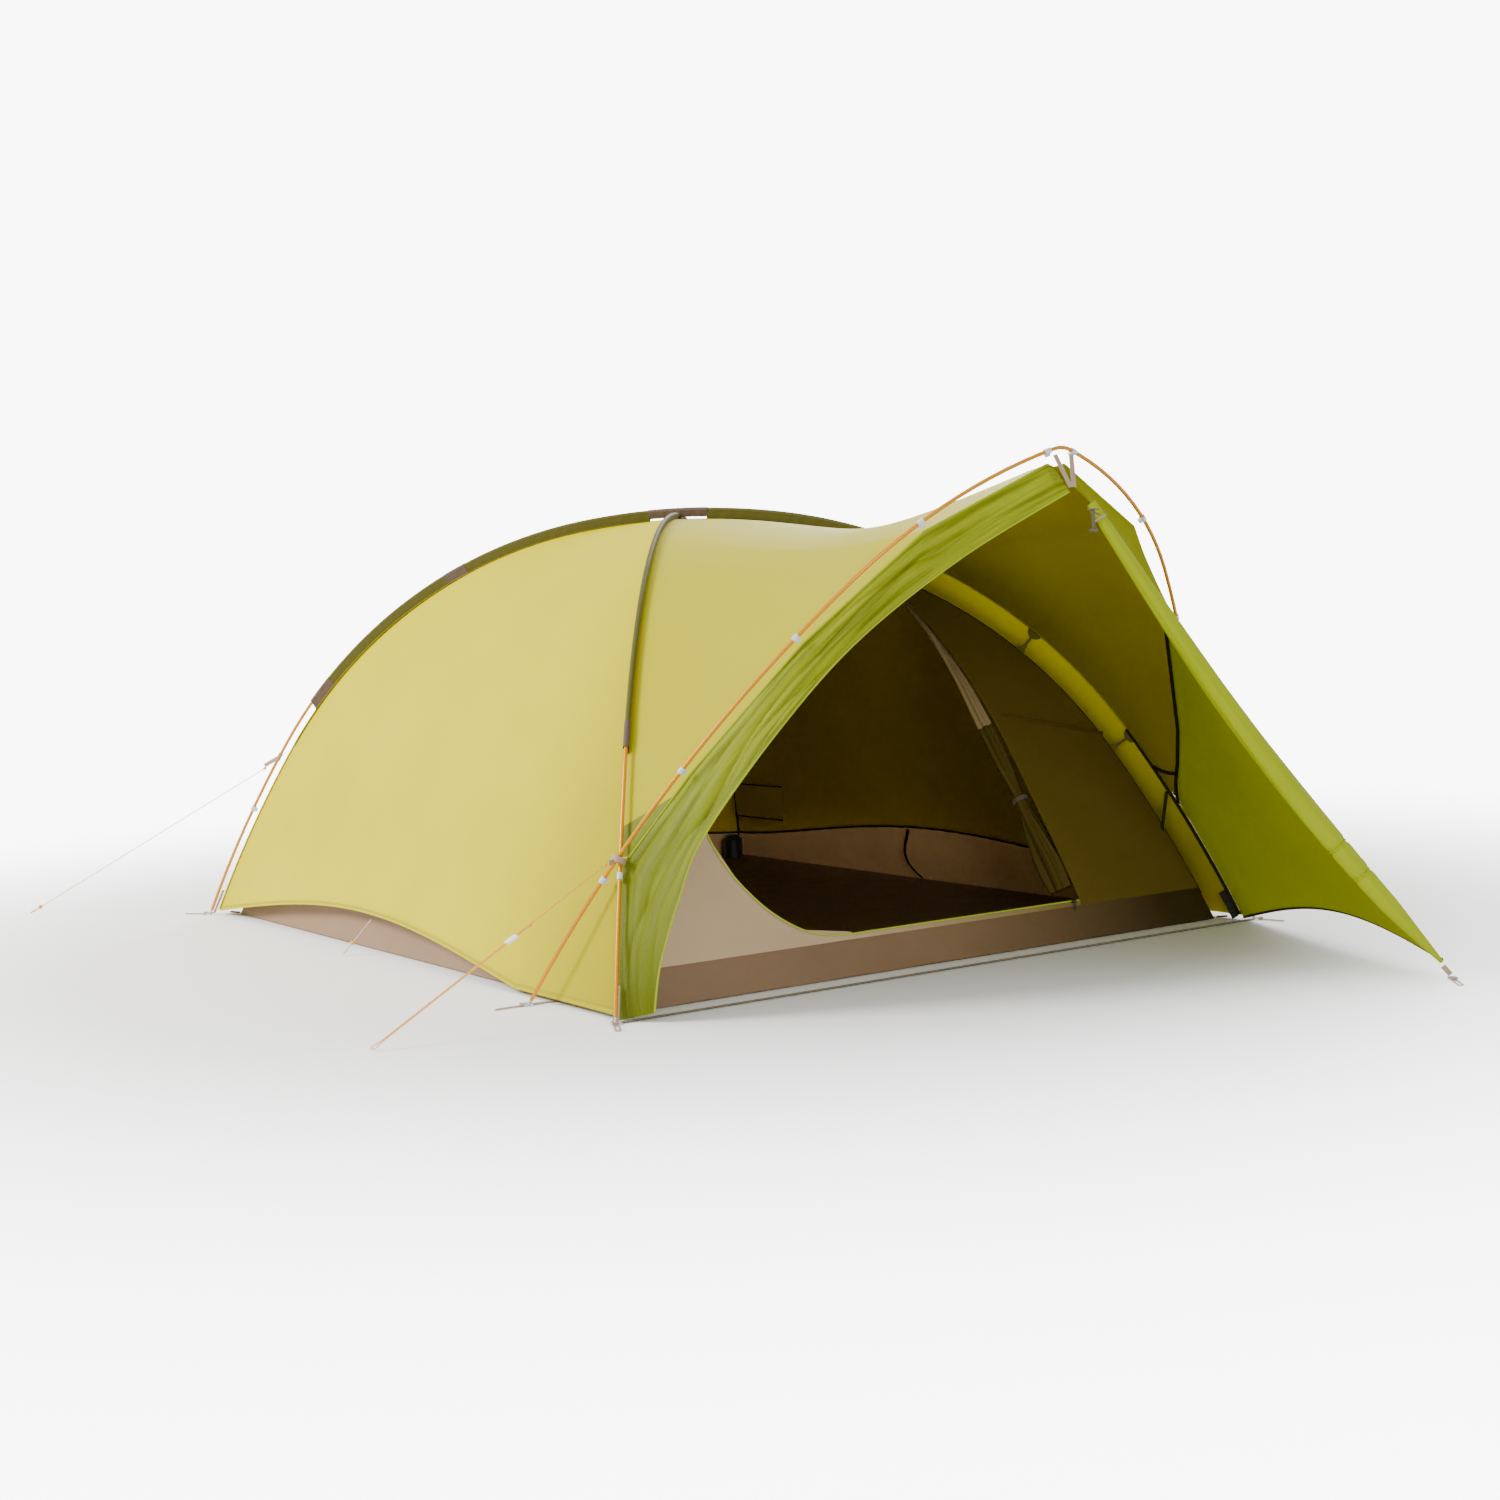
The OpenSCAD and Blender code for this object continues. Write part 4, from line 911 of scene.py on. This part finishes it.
def make_roll():
    """The rolled-up door with its ties, and the toggle's strap and pin."""
    t = steps(300)
    line = roll_line(t) + (ROLL_R + 0.002) * ROLL_OUT
    angle = around(48)
    thinner = np.where(t > 0.85, 0.06 * (t - 0.85), 0)
    radius = ROLL_R * (0.28 + 0.72 * np.sin(math.pi * (0.05 + 0.88 * t)) ** 0.8) - thinner
    tt, aa = t[:, None], angle[None]
    shape = 1 + 0.10 * np.sin(2 * aa + 1.2 + 2.5 * tt) + 0.04 * np.sin(5 * aa + 9 * tt)
    shape = shape + 0.02 * np.sin(9 * aa - 14 * tt + 1)
    flap = np.exp(-(((aa - 2.2 - 0.8 * tt + math.pi) % (2 * math.pi) - math.pi) / 0.16) ** 2)
    shape = shape + 0.14 * flap - 0.13 * np.roll(flap, 3, axis=1)
    for place in ROLL_TIES:
        shape = shape * (1 - 0.15 * np.exp(-(((tt - place) / 0.008) ** 2)))
        shape = shape + 0.06 * np.sin(9 * aa) * np.exp(-(((tt - place) / 0.025) ** 2))
    grid = ring_grid(line, circle(angle)[None] * (radius[:, None] * shape)[..., None], UP)
    o = register("rolled_door", solid_mesh("rolled_door", grid), "roll", ["fly_roll"])
    for k, place in enumerate(ROLL_TIES):
        i = int(place * (len(t) - 1))
        ring = np.vstack([grid[i], grid[i][:1]])
        loop = spline(mix(line[i], ring, 1.05), steps(120))
        thick, material, node = (0.0018, "roll", ()) if k else (0.0030, "web", ["roll_ties"])
        ref = unit(line[i + 1] - line[i])
        tube(f"roll_tie_{k}", loop, thick, material, ref=ref, replaces=node)
    turn = math.radians(50)
    bar, axis = vec(0.008, -1.752, 1.108), vec(-math.sin(turn), math.cos(turn), 0)
    pin = bar + axis * np.linspace(-0.013, 0.013, 6)[:, None]
    tube("toggle_pin", pin, 0.0015, "dark_web", sides=10)
    start = roll_line(0.03) + vec(-0.014, -0.020, 0.008)
    strap = mix(start, bar + axis * 0.011, steps(12)[:, None])
    strip("toggle_strap", strap, axis, 0.005, "dark_web")


# ---- inner tent ----
DOOR_LEFT = [(0.090, -0.250), (0.106, -0.268), (0.127, -0.411), (0.196, -0.504), (0.260, -0.554),
             (0.365, -0.601), (0.480, -0.612), (0.600, -0.590), (0.760, -0.510), (0.900, -0.370),
             (0.960, -0.250)]
DOOR_RIGHT = [(0.090, 0.492), (0.366, 0.440), (0.594, 0.405), (0.900, 0.360), (0.960, 0.340)]
SILL_Z = 0.102
TUB_BASE = 0.002
INNER_SAG = 0.018
INNER_STOP = 0.045
FRONT_TOP = 0.95


def inner_edge(z):
    """Half width and half depth of the inner tent at height z."""
    x, _ = DOME.at(DOME.length_at(z, INNER_GAP), INNER_GAP)
    return x * FOOT_X / SPAN, x * FOOT_Y / SPAN


def tub_top(v):
    """Height of the tub wall's seam: higher in the middle of a side."""
    return 0.090 + 0.090 * np.cos(math.pi / 2 * v) ** 1.5


def make_inner():
    v, w = grid_vw(60, 90)
    along, up = np.linspace(-1, 1, 90)[None], steps(14)[:, None]
    z = mix(TUB_BASE, tub_top(along), up)
    x, y = inner_edge(z)
    wall = dome_wall(INNER_GAP, tub_top(v), v, w, INNER_SAG, stop=INNER_STOP)
    wall = wall + normals(wall) * (field(wall, 3, 4) * 0.006 * hump(w))[..., None]
    tub = np.stack([x - 0.006 * hump(up) * (1 - along**2), along * y, z], -1)
    tub = tub + normals(tub) * (field(tub, 9, 6) * 0.004 * hump(up))[..., None]
    for side, turn, lower, node in (("right", lambda grid: grid[:, ::-1], "tub_painted_light", ["tub_walls"]),
                                    ("left", lambda grid: grid * MIRROR, "tub", ())):
        # The inner walls take the inner cloth in painted light.
        cloth(f"inner_{side}_wall", turn(wall), "inner_painted_light", [f"inner_{side}"])
        # On the right the tub wall takes the tub cloth in painted light.
        cloth(f"tub_{side}_wall", turn(tub), lower, node)
        strip(f"tub_{side}_seam", turn(wall)[0], UP, 0.010, "dark_seam")
    rear = dome_wall(INNER_GAP, tub_top(v), v, w, INNER_SAG, end=True, stop=INNER_STOP)
    cloth("inner_rear_wall", rear, "inner_painted_light", ["inner_rear"])
    tub = np.stack([along * x, y, z], -1)
    # Painted light: the rear tub wall.
    cloth("tub_rear_wall", tub, "tub_painted_light")
    strip("tub_rear_seam", rear[0], UP, 0.010, "dark_seam")
    for sx, sy, tag in corners():
        line = dome_pt(sx, sy, np.linspace(0.13, DOME.length - 0.05, 120), INNER_GAP - 0.001)
        strip(f"inner_ridge_{tag}", line, across_pole(sx, sy), 0.010, "inner_seam")
        if sy > 0:
            line = dome_pt(sx, sy, np.linspace(0.10, 0.85, 60), INNER_GAP + 0.003)
            strip(f"inner_corner_{tag}", line, across_pole(sx, sy), 0.014, "dark_seam")
    make_front()
    make_floor()
    make_door()
    make_pocket()
    make_hangers()


def front_grid(z, left, right, m):
    """Rows of points on the leaning front wall, between two edges given at each height."""
    _, y = inner_edge(z)
    share = steps(m)[None]
    x = mix(left[:, None], right[:, None], share)
    return np.stack(np.broadcast_arrays(x, -y[:, None], z[:, None]), -1)


def door_edge(table, z):
    table = np.array(table)
    return np.interp(z, table[:, 0], table[:, 1])


def make_front():
    z = mix(TUB_H, FRONT_TOP, steps(150) ** 1.7)
    left = front_grid(z, -inner_edge(z)[0], door_edge(DOOR_LEFT, z), 50)
    left = left + normals(left) * (field(left, 4, 1) * 0.005)[..., None]
    cloth("inner_front_left_wall", left, "inner", ["inner_front_left"])
    z = mix(TUB_H, FRONT_TOP, steps(90))
    right = front_grid(z, door_edge(DOOR_RIGHT, z), inner_edge(z)[0], 50)
    right = right + normals(right) * (field(right, 5, 8) * 0.006 * edge_mask(right, 0.03))[..., None]
    # Painted shade: the front's right part is darker cloth.
    cloth("inner_front_right_wall", right, "inner_painted_shade", ["inner_front_right"])
    points = [(0.439, 0.592), (0.560, 0.566), (0.680, 0.540), (0.770, 0.520)]
    line = spline(on_front(points, 0.004), steps(60))
    strip("front_cross_seam", line, UP, 0.009, "inner_seam")
    z = np.linspace(FRONT_TOP, float(DOME.at(DOME.length - INNER_STOP, INNER_GAP)[1]), 30)
    wide = inner_edge(z)[0]
    top = front_grid(z, -wide, wide, 40)
    cloth("inner_front_top_wall", top, "inner_painted_shade", ["inner_front_top"])
    z = np.linspace(TUB_BASE, TUB_H, 16)
    wide = inner_edge(z)[0]
    tub = front_grid(z, -wide, wide, 160)
    tub = tub - vec(0, 1, 0) * (field(tub, 8, 7) * 0.003 + field(tub, 20, 2) * 0.001)[..., None]
    cloth("tub_front_wall", tub, "tub_front")
    z = np.linspace(TUB_H, SILL_Z, 4)
    sill = front_grid(z, np.full(4, -0.27), np.full(4, 0.49), 60)
    cloth("door_sill", sill, "inner")


def make_floor():
    x, y = (float(a) for a in inner_edge(0.0))
    gx, gy = np.meshgrid(np.linspace(-x, x, 90), np.linspace(-y, y, 110), indexing="ij")
    grid = np.stack([gx, gy, np.full(gx.shape, 0.003)], -1)
    edge = np.minimum(1, np.minimum(x - np.abs(gx), y - np.abs(gy)) / 0.08)
    grid[..., 2] += edge * (0.004 + 0.004 * field(grid, 5, 3) + 0.003 * field(grid, 13, 5))
    cloth("floor_sheet", grid, "floor", ["inner_floor"])


PIPING = [(-0.612, 0.470), (-0.610, 0.420), (-0.600, 0.360), (-0.584, 0.310), (-0.560, 0.265),
          (-0.528, 0.222), (-0.490, 0.182), (-0.448, 0.150), (-0.400, 0.124), (-0.350, 0.109),
          (-0.290, SILL_Z), (-0.200, SILL_Z), (0.0, SILL_Z), (0.250, SILL_Z), (0.485, SILL_Z)]
DOOR_RUN = [(0.398, 0.905), (0.400, 0.820), (0.403, 0.700), (0.408, 0.600), (0.420, 0.480), (0.437, 0.366),
            (0.452, 0.280), (0.468, 0.200), (0.480, 0.125)]
DOOR_R = [0.006, 0.010, 0.014, 0.018, 0.019, 0.012, 0.024, 0.033, 0.030]


def on_front(points, out):
    p = np.array(points)
    return np.stack([p[:, 0], -inner_edge(p[:, 1])[1] - out, p[:, 1]], -1)


def make_door():
    """The lime piping of the doorway, and the opened door gathered beside it, its lower part darker as
    painted shade.
    """
    line = spline(on_front(PIPING, 0.004), steps(240))
    tube("door_piping_cord", line, 0.002, "piping", 10, (0, 1, 0), ["door_piping"])
    angle = around(36)
    for name, start, end, material, node in (("upper", 0.0, 0.42, "door_edge", ["door_panel"]),
                                             ("lower", 0.42, 1.0, "gathered_door_painted_shade", ())):
        t = np.linspace(start, end, 110)
        run = spline(on_front(np.array(DOOR_RUN) - (0.006, 0), -0.044), t)
        radius = spline(np.array(DOOR_R)[:, None], t)
        tt = t[:, None]
        folds = 1 + 0.24 * np.sin(6 * angle + 3 * np.sin(5 * tt)) + 0.14 * np.sin(10 * angle - 9 * tt)
        grid = ring_grid(run, circle(angle)[None] * (radius * 0.95 * folds)[..., None], vec(0, 1, 0))
        name = f"gathered_door_{name}"
        o = register(name, solid_mesh(name, grid), material, node)


HANG_L = (0.610, 1.010, 1.390, 1.880)


def make_pocket():
    """Gear pocket inside the right wall with bound edges, and the strap that crosses the tub wall."""
    y, z = np.meshgrid(steps(40), steps(24), indexing="ij")
    x = inner_edge(0.285)[0] - 0.024 - 0.010 * hump(y) * z
    grid = np.stack([x, mix(0.730, mix(1.010, 1.030, z), y), mix(0.165, 0.280, z)], -1)
    cloth("gear_pocket", grid, "mesh", ["pocket"])
    for k, line in enumerate((grid[:, -1], grid[0], grid[-1], grid[:, 0])):
        tube(f"pocket_binding_{k}", line, 0.0025, "dark_seam")
    t = steps(50)
    z = mix(0.170, 0.008, t)
    x = inner_edge(z)[0] - 0.012 - 0.030 * hump(t) * t
    line = np.stack([x, 0.10 + 0.035 * hump(t), z], -1)
    strip("tub_strap", line, vec(0, 1, 0), 0.012, "dark_seam")


def make_hangers():
    """Tapes from half-round patches on the fly's ridge seams to the inner tent."""
    depth = steps(30)
    patch = 0.022 * np.sqrt(np.clip(1 - (depth / 0.30) ** 2, 0, 1))
    half = np.maximum(patch, 0.0035 + 0.009 * np.maximum((depth - 0.45) / 0.55, 0) ** 2)
    places = [(sx, sy, length) for sx, sy, _ in corners() for length in HANG_L]
    for k, (sx, sy, length) in enumerate(places):
        top, low = (dome_pt(sx, sy, length, gap) for gap in (FLY_GAP + 0.004, INNER_GAP - 0.002))
        ahead = unit(dome_pt(sx, sy, length + 0.01, FLY_GAP) - dome_pt(sx, sy, length - 0.01, FLY_GAP))
        grid = mix(top, low, depth[:, None])[:, None]
        grid = grid + ahead * (half[:, None] * np.linspace(-1, 1, 9))[..., None]
        grid = grid + across_pole(sx, sy) * (0.0015 * np.sin(6 * depth))[:, None, None]
        node = () if k else ["hangers"]
        register(f"hanger_{k:02d}", grid_mesh("hanger", grid), "hanger", node)


# ---- carried-over CAD nodes ----
WORN = {
    ("pole", "pole_orange"): ["pole_a", "pole_b", "pole_c"],
    ("shock", "shock_cord"): ["shock_cords"],
    ("alloy", "bare_alloy"): ["pole_ferrules", "pole_tips", "foot_rings", "tip_ring"],
    ("clip", "clip_grey"): ["arch_clips", "leg_clips"],
    ("web", "webbing"): ["crossing_wraps", "rear_guy_straps", "peak_strap", "foot_tabs", "arch_foot_straps"],
    ("dark_web", "webbing"): ["door_toggle", "door_tie"],
    ("strap", "webbing"): ["floor_strap"],
    ("gusset", "gusset_black"): ["corner_gussets"],
    ("slider", "slider_dark"): ["door_slider"],
    ("hook", "hook_red"): ["corner_hooks"],
    ("bundle", "bundle_black"): ["stowed_bundle"],
    ("tensioner", "tensioner_white"): ["tensioner"],
    ("guy", "cord_orange"): ["guy_knots"],
}


def finish_nodes():
    """CAD nodes that are shown as they are, in their finished materials. The peg loops are webbing."""
    for (material, slot), nodes in WORN.items():
        for node in nodes:
            wear(node, material)
    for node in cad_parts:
        if node.startswith("loop_"):
            wear(node, "web")


def add_floor():
    """Plain pale floor that fades out of sight away from the tent."""
    n = Nodes("studio_floor")
    place = n.place()
    base = n.blend(n.noise(place, 0.6, 2), (0.92, 0.92, 0.92), (0.94, 0.94, 0.94))
    body = n.surface(base, 0.9, {"Specular IOR Level": 0.1})
    far = n.add("VectorMath", {0: place}, operation="LENGTH").outputs["Value"]
    gone = n.ramp(far, 1.6, 4.6, interpolation_type="SMOOTHSTEP")
    clear = n.add("BsdfTransparent").outputs[0]
    faded = n.add("MixShader", {0: gone, 1: body, 2: clear}).outputs[0]
    mesh = bpy.data.meshes.new("studio_floor")
    r = 30.0
    mesh.from_pydata([(-r, -r, 0), (r, -r, 0), (r, r, 0), (-r, r, 0)], [], [(0, 1, 2, 3)])
    mesh.materials.append(n.finish(faded))
    add_object("studio_floor", mesh)


add_camera()
make_guylines()
add_studio()
make_sleeves()
make_fly()
make_inner()
finish_nodes()
add_floor()
